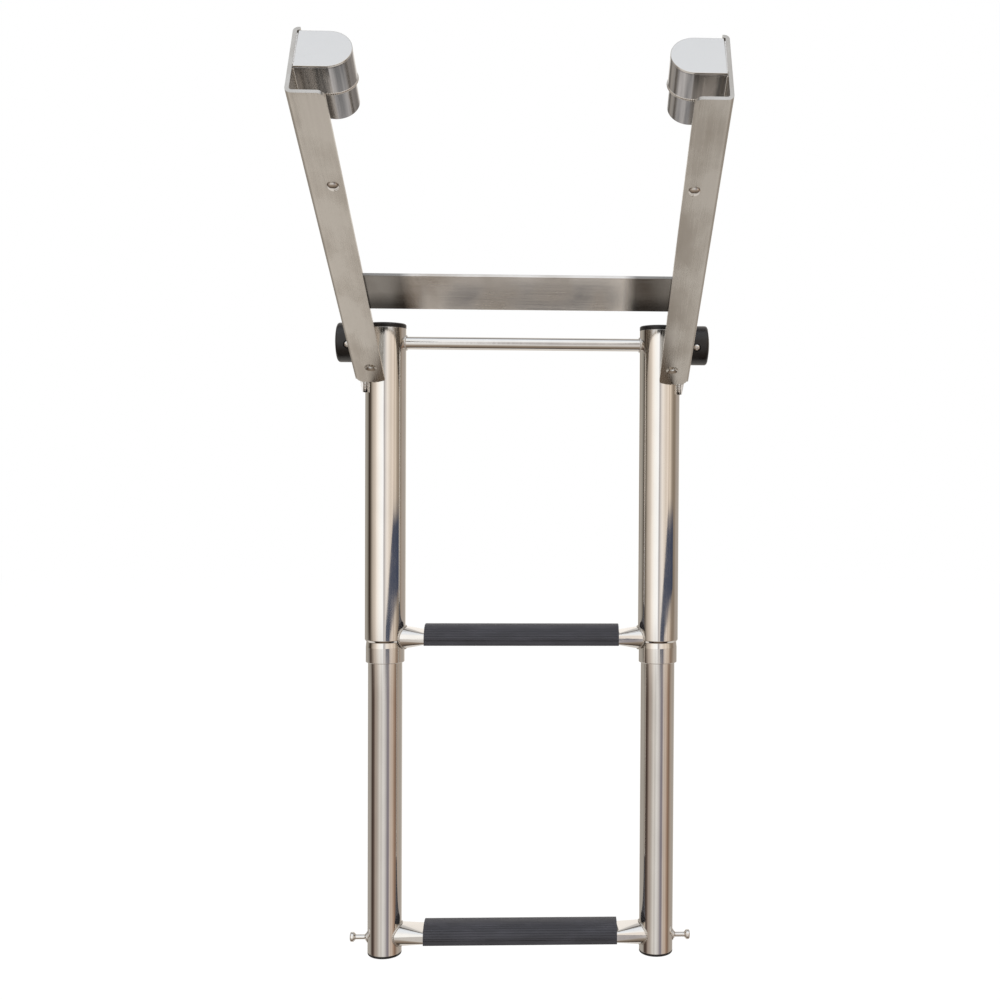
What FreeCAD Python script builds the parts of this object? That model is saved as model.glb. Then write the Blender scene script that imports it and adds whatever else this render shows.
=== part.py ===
import FreeCAD, Part
import math
import os
import Sketcher

# Two-step telescoping boarding ladder that folds on a pair of bracket arms.
# Millimetres.  The origin is the middle of the pivot axle.  X runs across the
# ladder, Y points away from the climber and Z points up.  The ladder hangs
# straight down with its sliding section fully out.  The arms lean towards the
# climber, and their pieces are modelled upright (Z along the arm, -Y to the
# face) and then turned about the axle.

SIZES = (
    ("rail_gap", 258.0, "between the centres of the two ladder tubes"),
    ("outer_dia", 38.1, "outer tube"),
    ("outer_wall", 1.5, "wall of the outer tube"),
    ("outer_rise", 13.4, "top of the outer tube above the axle"),
    ("outer_drop", 300.5, "lower end of the outer tube below the axle"),
    ("swage_len", 19.5, "reduced end of the outer tube"),
    ("swage_taper", 2.0, "cone between the tube and its reduced end"),
    ("inner_dia", 32.0, "sliding tube"),
    ("inner_wall", 1.5, "wall of the sliding tube"),
    ("inner_drop", 576.2, "lower end of the sliding tube below the axle"),
    ("slide_gap", 0.6, "round the sliding tube in the reduced end"),
    ("bush_gap", 0.35, "round the guide bush in the outer tube"),
    ("stop_gap", 0.5, "under the guide bush when the ladder is out"),
    ("bush_len", 14.0, "guide bush above the sliding tube"),
    ("bush_plug", 16.0, "guide bush inside the sliding tube"),
    ("fit_gap", 0.1, "round pieces that are welded or pressed"),
    ("run_gap", 0.08, "round the axle in the arms"),
    ("side_gap", 0.35, "between pieces that turn past each other"),
    ("axle_dia", 12.0, "pivot axle"),
    ("plate_thick", 3.0, "pivot plate"),
    ("plate_width", 26.0, "pivot plate"),
    ("plate_rise", 11.5, "pivot plate above the axle"),
    ("plate_drop", 47.0, "pivot plate below the axle"),
    ("plate_tip", 11.0, "tapered end of the pivot plate"),
    ("plate_tip_thick", 0.8, "pivot plate at its very end"),
    ("arm_sheet", 3.0, "sheet of the arms"),
    ("bend_radius", 5.0, "outside of the bend between web and flange"),
    ("lip_radius", 4.0, "outside of the bend between web and back lip"),
    ("lip_width", 5.0, "back lip with the sheet"),
    ("lip_foot", 62.0, "where the back lip starts above the axle"),
    ("flange_width", 27.5, "front flange with the sheet"),
    ("face_gap", 4.9, "front face before the axle, less the tube's diameter"),
    ("web_back", 20.8, "back edge of the arm behind the axle"),
    ("arm_length", 354.0, "upper end of the arm from the axle"),
    ("arm_lean", 59.8, "degrees between the arm and straight up"),
    ("flange_foot", -1.8, "lowest point of the flange above the axle"),
    ("foot_rise", 2.4, "corners of the flange's end above that point"),
    ("foot_round", 24.0, "radius of the flange's end"),
    ("foot_radius", 3.5, "inner corner of the flange's end"),
    ("foot_cut_len", 9.0, "cut outer corner of the flange, along the arm"),
    ("foot_cut_width", 3.0, "cut outer corner of the flange, across"),
    ("crown_radius", 6.0, "inner corner of the flange's upper end"),
    ("web_foot_flat", 18.0, "flat end of the web before the axle"),
    ("foot_hole_place", 21.5, "countersunk hole from the axle"),
    ("foot_hole_edge", 17.0, "countersunk hole from the outer face"),
    ("foot_hole_dia", 6.5, "countersunk hole"),
    ("foot_sink_dia", 11.0, "countersink"),
    ("foot_sink_deep", 1.6, "countersink"),
    ("bolt_place", 261.0, "round-head bolt from the axle"),
    ("bolt_edge", 19.3, "round-head bolt from the outer face"),
    ("bolt_dia", 5.0, "round-head bolt"),
    ("bolt_head_dia", 9.5, "round head"),
    ("bolt_head_tall", 2.6, "round head"),
    ("bolt_len", 11.0, "bolt under its head"),
    ("nut_wide", 8.0, "nut across its flats"),
    ("nut_tall", 4.0, "nut"),
    ("bar_wide", 45.0, "cross bar along the arm"),
    ("bar_foot", 106.5, "lower edge of the cross bar from the axle"),
    ("bar_thick", 3.0, "cross bar"),
    ("bar_inset", 2.5, "between the cross bar and each web"),
    ("socket_dia", 32.0, "socket tube"),
    ("socket_wall", 1.5, "wall of the socket tube"),
    ("socket_len", 50.0, "socket tube under its lid"),
    ("strap_thick", 1.4, "strap round the socket tube"),
    ("strap_len", 26.0, "strap at the socket's centre"),
    ("strap_slope", 0.15, "rise of the strap's lower edge per mm of depth"),
    ("lid_thick", 1.8, "socket lid"),
    ("roller_dia", 37.0, "roller"),
    ("roller_len", 20.6, "roller"),
    ("roller_round", 2.5, "rounded outer edge of the roller"),
    ("roller_dome", 1.8, "roller's face beyond its rounded edge"),
    ("roller_face", 70.0, "radius of the roller's domed face"),
    ("roller_end", 4.5, "closed end of the roller beyond the axle"),
    ("screw_place", 7.6, "roller screw from the roller's inner face"),
    ("screw_dia", 3.5, "roller screw"),
    ("screw_head_dia", 6.0, "roller screw's head"),
    ("screw_head_tall", 2.2, "roller screw's head"),
    ("screw_sink", 1.6, "roller screw's head below the roller's surface"),
    ("screw_bite", 4.0, "roller screw inside the axle"),
    ("screw_turn", 11.0, "degrees from the roller screws to straight forward"),
    ("step_upper_drop", 277.4, "upper step below the axle"),
    ("step_lower_drop", 559.9, "lower step below the axle"),
    ("step_wall", 1.5, "wall of the step tubes"),
    ("flat_depth", 32.0, "step tube where it is flattened"),
    ("flat_height", 11.0, "step tube where it is flattened"),
    ("flat_corner", 3.0, "corners of the flattened step tube"),
    ("end_depth", 26.0, "step tube at its ends"),
    ("end_height", 20.0, "step tube at its ends"),
    ("end_corner", 9.6, "corners of the step tube at its ends"),
    ("end_reach", 4.0, "full end section before the tube's side"),
    ("tread_inset", 18.75, "between the tread and the outer tube"),
    ("tread_depth", 36.5, "tread"),
    ("tread_crown", 12.8, "top of the tread above the step's middle"),
    ("tread_waist", 0.5, "widest part of the tread below the step's middle"),
    ("tread_shoulder", 8.9, "where the tread's side meets its arched top"),
    ("tread_arch", 26.5, "radius of the arched top"),
    ("tread_side", 10.5, "radius between the arched top and the side"),
    ("tread_ledge", 0.9, "tread's lower band behind its side"),
    ("tread_foot", 6.0, "bottom of the tread below the step's middle"),
    ("tread_skirt", 1.4, "rounded lower edges of the tread"),
    ("tread_slot", 18.0, "open slot along the tread's bottom"),
    ("rib_pitch", 2.4, "between the tread's grooves"),
    ("rib_radius", 0.5, "each groove"),
    ("cap_rim", 2.6, "straight rim of the top cap"),
    ("cap_dome", 4.5, "top cap above the tube"),
    ("cap_edge", 1.7, "rounded edge of the top cap"),
    ("cap_plug", 5.5, "top cap inside the tube"),
    ("foot_cap_tall", 2.5, "lower cap under the tube"),
    ("foot_cap_edge", 1.5, "rounded edge of the lower cap"),
    ("foot_cap_plug", 12.0, "lower cap inside the tube"),
    ("plug_wall", 2.0, "wall of the plastic plugs"),
    ("stud_drop", 562.7, "studs below the axle"),
    ("stud_len", 16.4, "stud beyond the tube"),
    ("stud_base_dia", 8.4, "stud at the tube"),
    ("stud_waist_dia", 4.6, "stud's neck"),
    ("stud_head_dia", 9.2, "stud's head"),
    ("stud_head_len", 5.0, "stud's head"),
)

RIBS_EACH_SIDE = 5
RIBS_ON_SIDE = 4
ARCH_SHARE = 0.755


class Size:
    """A length or angle together with the sheet formula that gives it."""

    def __init__(self, value, formula):
        self.value = float(value)
        self.formula = formula

    def __add__(self, other):
        other = as_size(other)
        return Size(self.value + other.value, f"({self.formula} + {other.formula})")

    def __radd__(self, other):
        return as_size(other) + self

    def __sub__(self, other):
        other = as_size(other)
        return Size(self.value - other.value, f"({self.formula} - {other.formula})")

    def __rsub__(self, other):
        return as_size(other) - self

    def __mul__(self, factor):
        factor = as_size(factor)
        return Size(self.value * factor.value, f"({self.formula} * {factor.formula})")

    def __rmul__(self, factor):
        return self * factor

    def __truediv__(self, number):
        return Size(self.value / number, f"({self.formula} / {number})")

    def __neg__(self):
        return Size(-self.value, f"(0 - {self.formula})")


def as_size(number):
    """Give a plain number the same form as a named size."""
    if isinstance(number, Size):
        return number
    return Size(number, f"{float(number):.9f}")


class SizeSheet:
    """The spreadsheet of driving sizes; each size is read as an attribute."""

    def __init__(self, document, table):
        self.sheet = document.addObject("Spreadsheet::Sheet", "sizes")
        for row, (name, value, note) in enumerate(table, start=1):
            self.sheet.set(f"A{row}", name)
            self.sheet.set(f"B{row}", str(value))
            self.sheet.setAlias(f"B{row}", name)
            self.sheet.set(f"C{row}", note)
            setattr(self, name, Size(value, f"sizes.{name}"))
        document.recompute()


doc = FreeCAD.newDocument("boarding_ladder")
d = SizeSheet(doc, SIZES)
pieces = []


# ---------------------------------------------------------------- helpers


def bind(thing, name, size):
    """Tie one property of an object to the sheet."""
    thing.setExpression(name, as_size(size).formula)


def place(piece, x=0, y=0, z=0, lean=None):
    """Put a finished piece where it belongs and add it to the list."""
    piece.Placement = FreeCAD.Placement(
        FreeCAD.Vector(0, 0, 0), FreeCAD.Rotation(FreeCAD.Vector(1, 0, 0), 30)
    )
    bind(piece, "Placement.Base.x", x)
    bind(piece, "Placement.Base.y", y)
    bind(piece, "Placement.Base.z", z)
    turn = as_size(0 if lean is None else lean)
    piece.setExpression("Placement.Rotation.Angle", f"{turn.formula} * 1 deg")
    pieces.append(piece)
    return piece


def new_body(label):
    """Start one piece."""
    body = doc.addObject("PartDesign::Body", label)
    body.Label = label
    return body


def sketch(body, role, offset=0):
    """Open a sketch on one of the body's own planes."""
    made = body.newObject("Sketcher::SketchObject", body.Name + "_sketch")
    base = [plane for plane in body.Origin.OriginFeatures if plane.Role == role][0]
    made.AttachmentSupport = [(base, "")]
    made.MapMode = "FlatFace"
    bind(made, "AttachmentOffset.Base.z", offset)
    return made


def fix_point(drawing, edge, end, x, y):
    """Tie one end of an edge to its place."""
    x = as_size(x)
    y = as_size(y)
    if abs(x.value) < 1e-9:
        drawing.addConstraint(Sketcher.Constraint("PointOnObject", edge, end, -2))
    else:
        number = drawing.addConstraint(
            Sketcher.Constraint("DistanceX", -1, 1, edge, end, x.value)
        )
        drawing.setExpression(f"Constraints[{number}]", x.formula)
    if abs(y.value) < 1e-9:
        drawing.addConstraint(Sketcher.Constraint("PointOnObject", edge, end, -1))
    else:
        number = drawing.addConstraint(
            Sketcher.Constraint("DistanceY", -1, 1, edge, end, y.value)
        )
        drawing.setExpression(f"Constraints[{number}]", y.formula)


def arc_between(first, last, radius, side):
    """An arc between two points; its centre is on the left for side 1."""
    middle = (first + last) * 0.5
    half = (last - first) * 0.5
    reach = math.sqrt(max(radius**2 - half.Length**2, 0.0))
    left = FreeCAD.Vector(-half.y, half.x, 0).normalize()
    centre = middle + left * (reach * side)
    begin, stop = (first, last) if side > 0 else (last, first)
    turn_begin = math.atan2(begin.y - centre.y, begin.x - centre.x)
    turn_stop = math.atan2(stop.y - centre.y, stop.x - centre.x)
    circle = Part.Circle(centre, FreeCAD.Vector(0, 0, 1), radius)
    return Part.ArcOfCircle(circle, turn_begin, turn_stop)


def outline(drawing, corners):
    """Draw a closed outline.  A corner is (x, y), or (x, y, radius, side)
    when an arc runs from it to the next corner."""
    start = drawing.GeometryCount
    count = len(corners)
    points = [
        FreeCAD.Vector(as_size(corner[0]).value, as_size(corner[1]).value, 0)
        for corner in corners
    ]
    ends = []
    for number, corner in enumerate(corners):
        first = points[number]
        last = points[(number + 1) % count]
        if len(corner) == 2:
            drawing.addGeometry(Part.LineSegment(first, last), False)
            ends.append((1, 2))
        else:
            radius = as_size(corner[2]).value
            drawing.addGeometry(arc_between(first, last, radius, corner[3]), False)
            ends.append((1, 2) if corner[3] > 0 else (2, 1))
    for number, corner in enumerate(corners):
        after = (number + 1) % count
        drawing.addConstraint(
            Sketcher.Constraint(
                "Coincident",
                start + number,
                ends[number][1],
                start + after,
                ends[after][0],
            )
        )
        fix_point(drawing, start + number, ends[number][0], corner[0], corner[1])
    for number, corner in enumerate(corners):
        if len(corner) == 4:
            radius = as_size(corner[2])
            place_in_list = drawing.addConstraint(
                Sketcher.Constraint("Radius", start + number, radius.value)
            )
            drawing.setExpression(f"Constraints[{place_in_list}]", radius.formula)


def disc(drawing, x, y, radius):
    """Draw a circle."""
    radius = as_size(radius)
    centre = FreeCAD.Vector(as_size(x).value, as_size(y).value, 0)
    edge = drawing.addGeometry(
        Part.Circle(centre, FreeCAD.Vector(0, 0, 1), radius.value), False
    )
    fix_point(drawing, edge, 3, x, y)
    number = drawing.addConstraint(Sketcher.Constraint("Radius", edge, radius.value))
    drawing.setExpression(f"Constraints[{number}]", radius.formula)


def rounded(drawing, depth, height, corner):
    """Draw a rectangle with rounded corners, wide along the first axis."""
    side = as_size(depth) / 2
    rise = as_size(height) / 2
    corner = as_size(corner)
    outline(
        drawing,
        [
            (side - corner, -rise, corner, 1),
            (side, corner - rise),
            (side, rise - corner, corner, 1),
            (side - corner, rise),
            (corner - side, rise, corner, 1),
            (-side, rise - corner),
            (-side, corner - rise, corner, 1),
            (corner - side, -rise),
        ],
    )


def pad(body, drawing, length, symmetric=False):
    """Extrude a sketch along its normal."""
    made = body.newObject("PartDesign::Pad", body.Name + "_pad")
    made.Profile = drawing
    if symmetric:
        made.SideType = "Symmetric"
    bind(made, "Length", length)
    return made


def pocket(body, drawing, length=None, reverse=False):
    """Cut a sketch out of the body, right through when no length is given."""
    made = body.newObject("PartDesign::Pocket", body.Name + "_pocket")
    made.Profile = drawing
    if length is None:
        made.Type = "ThroughAll"
        made.SideType = "Symmetric"
    else:
        made.Reversed = reverse
        bind(made, "Length", length)
    return made


def spin(body, drawing, axis="V_Axis"):
    """Turn a sketch all the way round one of its axes."""
    made = body.newObject("PartDesign::Revolution", body.Name + "_turn")
    made.Profile = drawing
    made.ReferenceAxis = (drawing, [axis])
    made.Angle = 360
    return made


# -------------------------------------------------- sizes that others share

rail = d.rail_gap / 2
outer_radius = d.outer_dia / 2
outer_bore = outer_radius - d.outer_wall
inner_radius = d.inner_dia / 2
inner_bore = inner_radius - d.inner_wall
swage_bore = inner_radius + d.slide_gap
swage_radius = swage_bore + d.outer_wall
swage_top = -(d.outer_drop - d.swage_len)
bush_seat = swage_top + d.swage_taper + d.stop_gap
axle_radius = d.axle_dia / 2

plate_inside = rail + outer_radius + d.fit_gap
web_inside = plate_inside + d.plate_thick + d.side_gap
web_outside = web_inside + d.arm_sheet
flange_inside = web_outside - d.flange_width
# The arms' lean takes the face two millimetres forward for each one that the
# tube's radius grows, so that the flange's foot clears the tube.
face_offset = d.outer_dia + d.face_gap
flange_back = face_offset - d.arm_sheet
roller_inside = web_outside + d.side_gap
roller_outside = roller_inside + d.roller_len
axle_end = roller_outside - d.roller_end
screw_x = roller_inside + d.screw_place

socket_radius = d.socket_dia / 2
socket_top = d.arm_length - d.lid_thick
strap_inside = socket_radius + d.fit_gap
strap_outside = strap_inside + d.strap_thick

tread_half = rail - outer_radius - d.tread_inset
flat_half = tread_half + 0.2

SIDES = (("left", -1), ("right", 1))


# ------------------------------------------------------------ bracket arms


def make_arm(side, sign):
    """Bent sheet arm: flange to the front, web outside, small lip behind."""
    body = new_body(f"arm_{side}")
    inner_bend = d.bend_radius - d.arm_sheet
    inner_lip = d.lip_radius - d.arm_sheet
    profile = sketch(body, "XY_Plane", -d.web_back)
    outline(
        profile,
        [
            (sign * flange_inside, -face_offset),
            (
                sign * (web_outside - d.bend_radius),
                -face_offset,
                d.bend_radius,
                sign,
            ),
            (sign * web_outside, d.bend_radius - face_offset),
            (sign * web_outside, d.web_back - d.lip_radius, d.lip_radius, sign),
            (sign * (web_outside - d.lip_radius), d.web_back),
            (sign * (web_outside - d.lip_width), d.web_back),
            (sign * (web_outside - d.lip_width), d.web_back - d.arm_sheet),
            (
                sign * (web_outside - d.lip_radius),
                d.web_back - d.arm_sheet,
                inner_lip,
                -sign,
            ),
            (sign * web_inside, d.web_back - d.lip_radius),
            (sign * web_inside, d.bend_radius - face_offset, inner_bend, -sign),
            (sign * (web_outside - d.bend_radius), -flange_back),
            (sign * flange_inside, -flange_back),
        ],
    )
    pad(body, profile, d.arm_length + d.web_back)

    # The web ends in a half round about the axle and a slope to the flange.
    foot = sketch(body, "YZ_Plane")
    outline(
        foot,
        [
            (d.web_back + 1, -d.web_back - 1),
            (d.web_back + 1, 0),
            (d.web_back, 0, d.web_back, -1),
            (0, -d.web_back),
            (-d.web_foot_flat, -d.web_back),
            (-flange_back, d.flange_foot),
            (-face_offset - 1, d.flange_foot),
            (-face_offset - 1, -d.web_back - 1),
        ],
    )
    pocket(body, foot)

    # The lip stops short of the swinging ladder.
    relief = sketch(body, "YZ_Plane", sign * web_inside)
    outline(
        relief,
        [
            (d.web_back - d.lip_radius, -d.web_back - 1),
            (d.web_back + 1, -d.web_back - 1),
            (d.web_back + 1, d.lip_foot),
            (d.web_back - d.lip_radius, d.lip_foot),
        ],
    )
    pocket(body, relief, d.lip_width, reverse=sign < 0)

    # The flange's lower end is bowed, with a cut outer corner and a round
    # inner one.
    foot_corner = d.flange_foot + d.foot_rise
    trim = sketch(body, "XZ_Plane", face_offset + 1)
    outline(
        trim,
        [
            (sign * (flange_inside - 1), -d.web_back - 1),
            (sign * (web_outside + 1), -d.web_back - 1),
            (sign * (web_outside + 1), foot_corner + d.foot_cut_len),
            (
                sign * web_outside,
                foot_corner + d.foot_cut_len,
                d.foot_cut_len * 1.5,
                -sign,
            ),
            (
                sign * (web_outside - d.foot_cut_width),
                foot_corner,
                d.foot_round,
                -sign,
            ),
            (
                sign * (flange_inside + d.foot_radius),
                foot_corner,
                d.foot_radius,
                -sign,
            ),
            (sign * flange_inside, foot_corner + d.foot_radius),
            (sign * (flange_inside - 1), foot_corner + d.foot_radius),
        ],
    )
    pocket(body, trim, d.arm_sheet + 2)

    # The inner corner of the flange's upper end is round as well.
    crown = sketch(body, "XZ_Plane", face_offset + 1)
    outline(
        crown,
        [
            (sign * (flange_inside - 1), d.arm_length + 1),
            (sign * (flange_inside - 1), d.arm_length - d.crown_radius),
            (
                sign * flange_inside,
                d.arm_length - d.crown_radius,
                d.crown_radius,
                -sign,
            ),
            (sign * (flange_inside + d.crown_radius), d.arm_length),
            (sign * (flange_inside + d.crown_radius), d.arm_length + 1),
        ],
    )
    pocket(body, crown, d.arm_sheet + 2)

    bore = sketch(body, "YZ_Plane")
    disc(bore, 0, 0, axle_radius + d.run_gap)
    pocket(body, bore)

    # The countersunk hole and the bolt hole go through the flange only.
    hole_x = sign * (web_outside - d.foot_hole_edge)
    hole = sketch(body, "XZ_Plane", flange_back - 1)
    disc(hole, hole_x, d.foot_hole_place, d.foot_hole_dia / 2)
    disc(hole, sign * (web_outside - d.bolt_edge), d.bolt_place, bolt_hole)
    pocket(body, hole, d.arm_sheet + 2, reverse=True)
    return body


def sink_cutter(side, sign):
    """Cone of the countersink."""
    cone = doc.addObject("Part::Cone", f"sink_{side}")
    bind(cone, "Radius1", d.foot_sink_dia / 2)
    bind(cone, "Radius2", d.foot_hole_dia / 2)
    bind(cone, "Height", d.foot_sink_deep)
    cone.Placement = FreeCAD.Placement(
        FreeCAD.Vector(0, 0, 0), FreeCAD.Rotation(FreeCAD.Vector(1, 0, 0), -90)
    )
    bind(cone, "Placement.Base.x", sign * (web_outside - d.foot_hole_edge))
    bind(cone, "Placement.Base.y", -face_offset)
    bind(cone, "Placement.Base.z", d.foot_hole_place)
    return cone


bolt_hole = d.bolt_dia / 2 + d.fit_gap
for side, sign in SIDES:
    arm = make_arm(side, sign)
    arm.Label = f"arm_{side}_sheet"
    sunk = doc.addObject("Part::Cut", f"arm_{side}_sunk")
    sunk.Base = arm
    sunk.Tool = sink_cutter(side, sign)
    sunk.Label = f"arm_{side}"
    place(sunk, lean=d.arm_lean)

bar = doc.addObject("Part::Box", "cross_bar_flat")
bar_half = web_inside - d.bar_inset
bind(bar, "Length", 2 * bar_half)
bind(bar, "Width", d.bar_thick)
bind(bar, "Height", d.bar_wide)
bind(bar, "Placement.Base.x", -bar_half)
bind(bar, "Placement.Base.y", -flange_back)
bind(bar, "Placement.Base.z", d.bar_foot)
bar_group = doc.addObject("Part::Compound", "cross_bar")
bar_group.Links = [bar]
bar_group.Label = "cross_bar"
place(bar_group, lean=d.arm_lean)


# Bolts and nuts are turned on their own Z axis, head up, and then laid over.
head_radius = d.bolt_head_dia / 2
dome_radius = (d.bolt_head_dia / 2) * 1.08
bolts = []
nuts = []
for side, sign in SIDES:
    bolt = new_body(f"bolt_{side}")
    profile = sketch(bolt, "XZ_Plane")
    outline(
        profile,
        [
            (0, -d.bolt_len),
            (d.bolt_dia / 2, -d.bolt_len),
            (d.bolt_dia / 2, 0),
            (head_radius, 0),
            (head_radius, d.bolt_head_tall * 0.25, dome_radius, 1),
            (0.6, d.bolt_head_tall),
            (0, d.bolt_head_tall),
        ],
    )
    spin(bolt, profile)
    nut = doc.addObject("Part::Prism", f"nut_{side}_blank")
    nut.Polygon = 6
    bind(nut, "Circumradius", d.nut_wide * (1 / math.sqrt(3)))
    bind(nut, "Height", d.nut_tall)
    drill = doc.addObject("Part::Cylinder", f"nut_{side}_drill")
    bind(drill, "Radius", bolt_hole)
    bind(drill, "Height", d.nut_tall)
    ring = doc.addObject("Part::Cut", f"nut_{side}")
    ring.Base = nut
    ring.Tool = drill
    for thing, depth in ((bolt, face_offset), (ring, flange_back)):
        thing.Placement = FreeCAD.Placement(
            FreeCAD.Vector(0, 0, 0), FreeCAD.Rotation(FreeCAD.Vector(1, 0, 0), 90)
        )
        bind(thing, "Placement.Base.x", sign * (web_outside - d.bolt_edge))
        bind(thing, "Placement.Base.z", d.bolt_place)
    bind(bolt, "Placement.Base.y", -face_offset)
    bind(ring, "Placement.Base.y", d.nut_tall - flange_back)
    bolts.append(bolt)
    nuts.append(ring)

for label, members in (("arm_bolts", bolts), ("arm_nuts", nuts)):
    group = doc.addObject("Part::Compound", label)
    group.Links = members
    group.Label = label
    place(group, lean=d.arm_lean)


# ------------------------------------------------------------- end sockets

for side, sign in SIDES:
    tube = new_body(f"socket_tube_{side}")
    profile = sketch(tube, "XY_Plane", socket_top - d.socket_len)
    disc(profile, sign * rail, 0, socket_radius)
    disc(profile, sign * rail, 0, socket_radius - d.socket_wall)
    pad(tube, profile, d.socket_len)
    place(tube, lean=d.arm_lean)

    strap = new_body(f"socket_strap_{side}")
    profile = sketch(strap, "XY_Plane", socket_top - d.strap_len * 1.5)
    wall = sign * (web_inside - d.fit_gap)
    wall_back = sign * (web_inside - d.lip_radius + d.arm_sheet - d.fit_gap)
    nose = sign * (rail - strap_outside)
    outline(
        profile,
        [
            (wall_back, strap_outside),
            (sign * rail, strap_outside, strap_outside, sign),
            (nose, 0, strap_outside, sign),
            (sign * rail, -strap_outside),
            (wall, -strap_outside),
            (wall, -strap_inside),
            (sign * rail, -strap_inside, strap_inside, -sign),
            (sign * (rail - strap_inside), 0, strap_inside, -sign),
            (sign * rail, strap_inside),
            (wall_back, strap_inside),
        ],
    )
    pad(strap, profile, d.strap_len * 1.5)
    edge = sketch(strap, "YZ_Plane")
    reach = strap_outside + 1
    rise = reach * d.strap_slope
    low = socket_top - d.strap_len
    outline(
        edge,
        [
            (-reach, low + rise),
            (-reach, low - d.strap_len),
            (reach, low - d.strap_len),
            (reach, low - rise),
        ],
    )
    pocket(strap, edge)
    place(strap, lean=d.arm_lean)

    lid = new_body(f"socket_lid_{side}")
    profile = sketch(lid, "XY_Plane", socket_top)
    outline(
        profile,
        [
            (wall_back, strap_outside),
            (sign * rail, strap_outside, strap_outside, sign),
            (nose, 0, strap_outside, sign),
            (sign * rail, -strap_outside),
            (wall, -strap_outside),
        ],
    )
    pad(lid, profile, d.lid_thick)
    place(lid, lean=d.arm_lean)


# ------------------------------------------------- outer tubes and the axle

for side, sign in SIDES:
    tube = new_body(f"outer_tube_{side}")
    profile = sketch(tube, "XZ_Plane")
    outline(
        profile,
        [
            (outer_bore, d.outer_rise),
            (outer_bore, swage_top + d.swage_taper),
            (swage_bore, swage_top),
            (swage_bore, -d.outer_drop),
            (swage_radius, -d.outer_drop),
            (swage_radius, swage_top),
            (outer_radius, swage_top + d.swage_taper),
            (outer_radius, d.outer_rise),
        ],
    )
    spin(tube, profile)
    bore = sketch(tube, "YZ_Plane")
    disc(bore, 0, 0, axle_radius + d.fit_gap)
    pocket(tube, bore)
    place(tube, x=sign * rail)

    cap = new_body(f"top_cap_{side}")
    profile = sketch(cap, "XZ_Plane")
    plug = outer_bore - d.fit_gap
    outline(
        profile,
        [
            (0, d.outer_rise + d.cap_rim / 2),
            (plug - d.plug_wall, d.outer_rise + d.cap_rim / 2),
            (plug - d.plug_wall, d.outer_rise - d.cap_plug),
            (plug, d.outer_rise - d.cap_plug),
            (plug, d.outer_rise),
            (outer_radius, d.outer_rise),
            (outer_radius, d.outer_rise + d.cap_rim, d.cap_edge, 1),
            (outer_radius - d.cap_edge, d.outer_rise + d.cap_rim + d.cap_edge),
            (2, d.outer_rise + d.cap_dome),
            (0, d.outer_rise + d.cap_dome),
        ],
    )
    spin(cap, profile)
    place(cap, x=sign * rail)

    plate = new_body(f"pivot_plate_{side}")
    profile = sketch(plate, "XZ_Plane")
    outside = plate_inside + d.plate_thick
    outline(
        profile,
        [
            (sign * plate_inside, d.plate_rise),
            (sign * outside, d.plate_rise),
            (sign * outside, d.plate_tip - d.plate_drop),
            (sign * (plate_inside + d.plate_tip_thick), -d.plate_drop),
            (sign * plate_inside, -d.plate_drop),
        ],
    )
    pad(plate, profile, d.plate_width, symmetric=True)
    bore = sketch(plate, "YZ_Plane")
    disc(bore, 0, 0, axle_radius + d.fit_gap)
    pocket(plate, bore)
    place(plate)

    roller = new_body(f"roller_{side}")
    profile = sketch(roller, "XY_Plane")
    radius = d.roller_dia / 2
    face_edge = roller_outside - d.roller_dome
    bore_end = axle_end + d.fit_gap
    bore_radius = axle_radius + d.fit_gap
    outline(
        profile,
        [
            (sign * roller_inside, bore_radius),
            (sign * roller_inside, radius - 0.8),
            (sign * (roller_inside + 0.8), radius),
            (sign * (face_edge - d.roller_round), radius, d.roller_round, -sign),
            (sign * face_edge, radius - d.roller_round, d.roller_face, -sign),
            (sign * roller_outside, 1),
            (sign * roller_outside, 0),
            (sign * bore_end, 0),
            (sign * bore_end, bore_radius),
        ],
    )
    spin(roller, profile, "H_Axis")
    seat = radius - d.screw_sink
    shank = d.screw_dia / 2 + d.fit_gap
    well = d.screw_head_dia / 2 + 0.3
    drill = sketch(roller, "XZ_Plane")
    disc(drill, sign * screw_x, 0, shank)
    pocket(roller, drill, radius + 1, reverse=True)
    sink = sketch(roller, "XZ_Plane", seat)
    disc(sink, sign * screw_x, 0, well)
    pocket(roller, sink, d.screw_sink + 1, reverse=True)
    place(roller, lean=d.screw_turn)

axle = new_body("axle")
profile = sketch(axle, "YZ_Plane")
disc(profile, 0, 0, axle_radius)
pad(axle, profile, 2 * axle_end, symmetric=True)
for side, sign in SIDES:
    drill = sketch(axle, "XZ_Plane", axle_radius - d.screw_bite - 0.2)
    disc(drill, sign * screw_x, 0, d.screw_dia / 2 + d.fit_gap)
    pocket(axle, drill, d.screw_bite + 1, reverse=True)
place(axle, lean=d.screw_turn)

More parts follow.
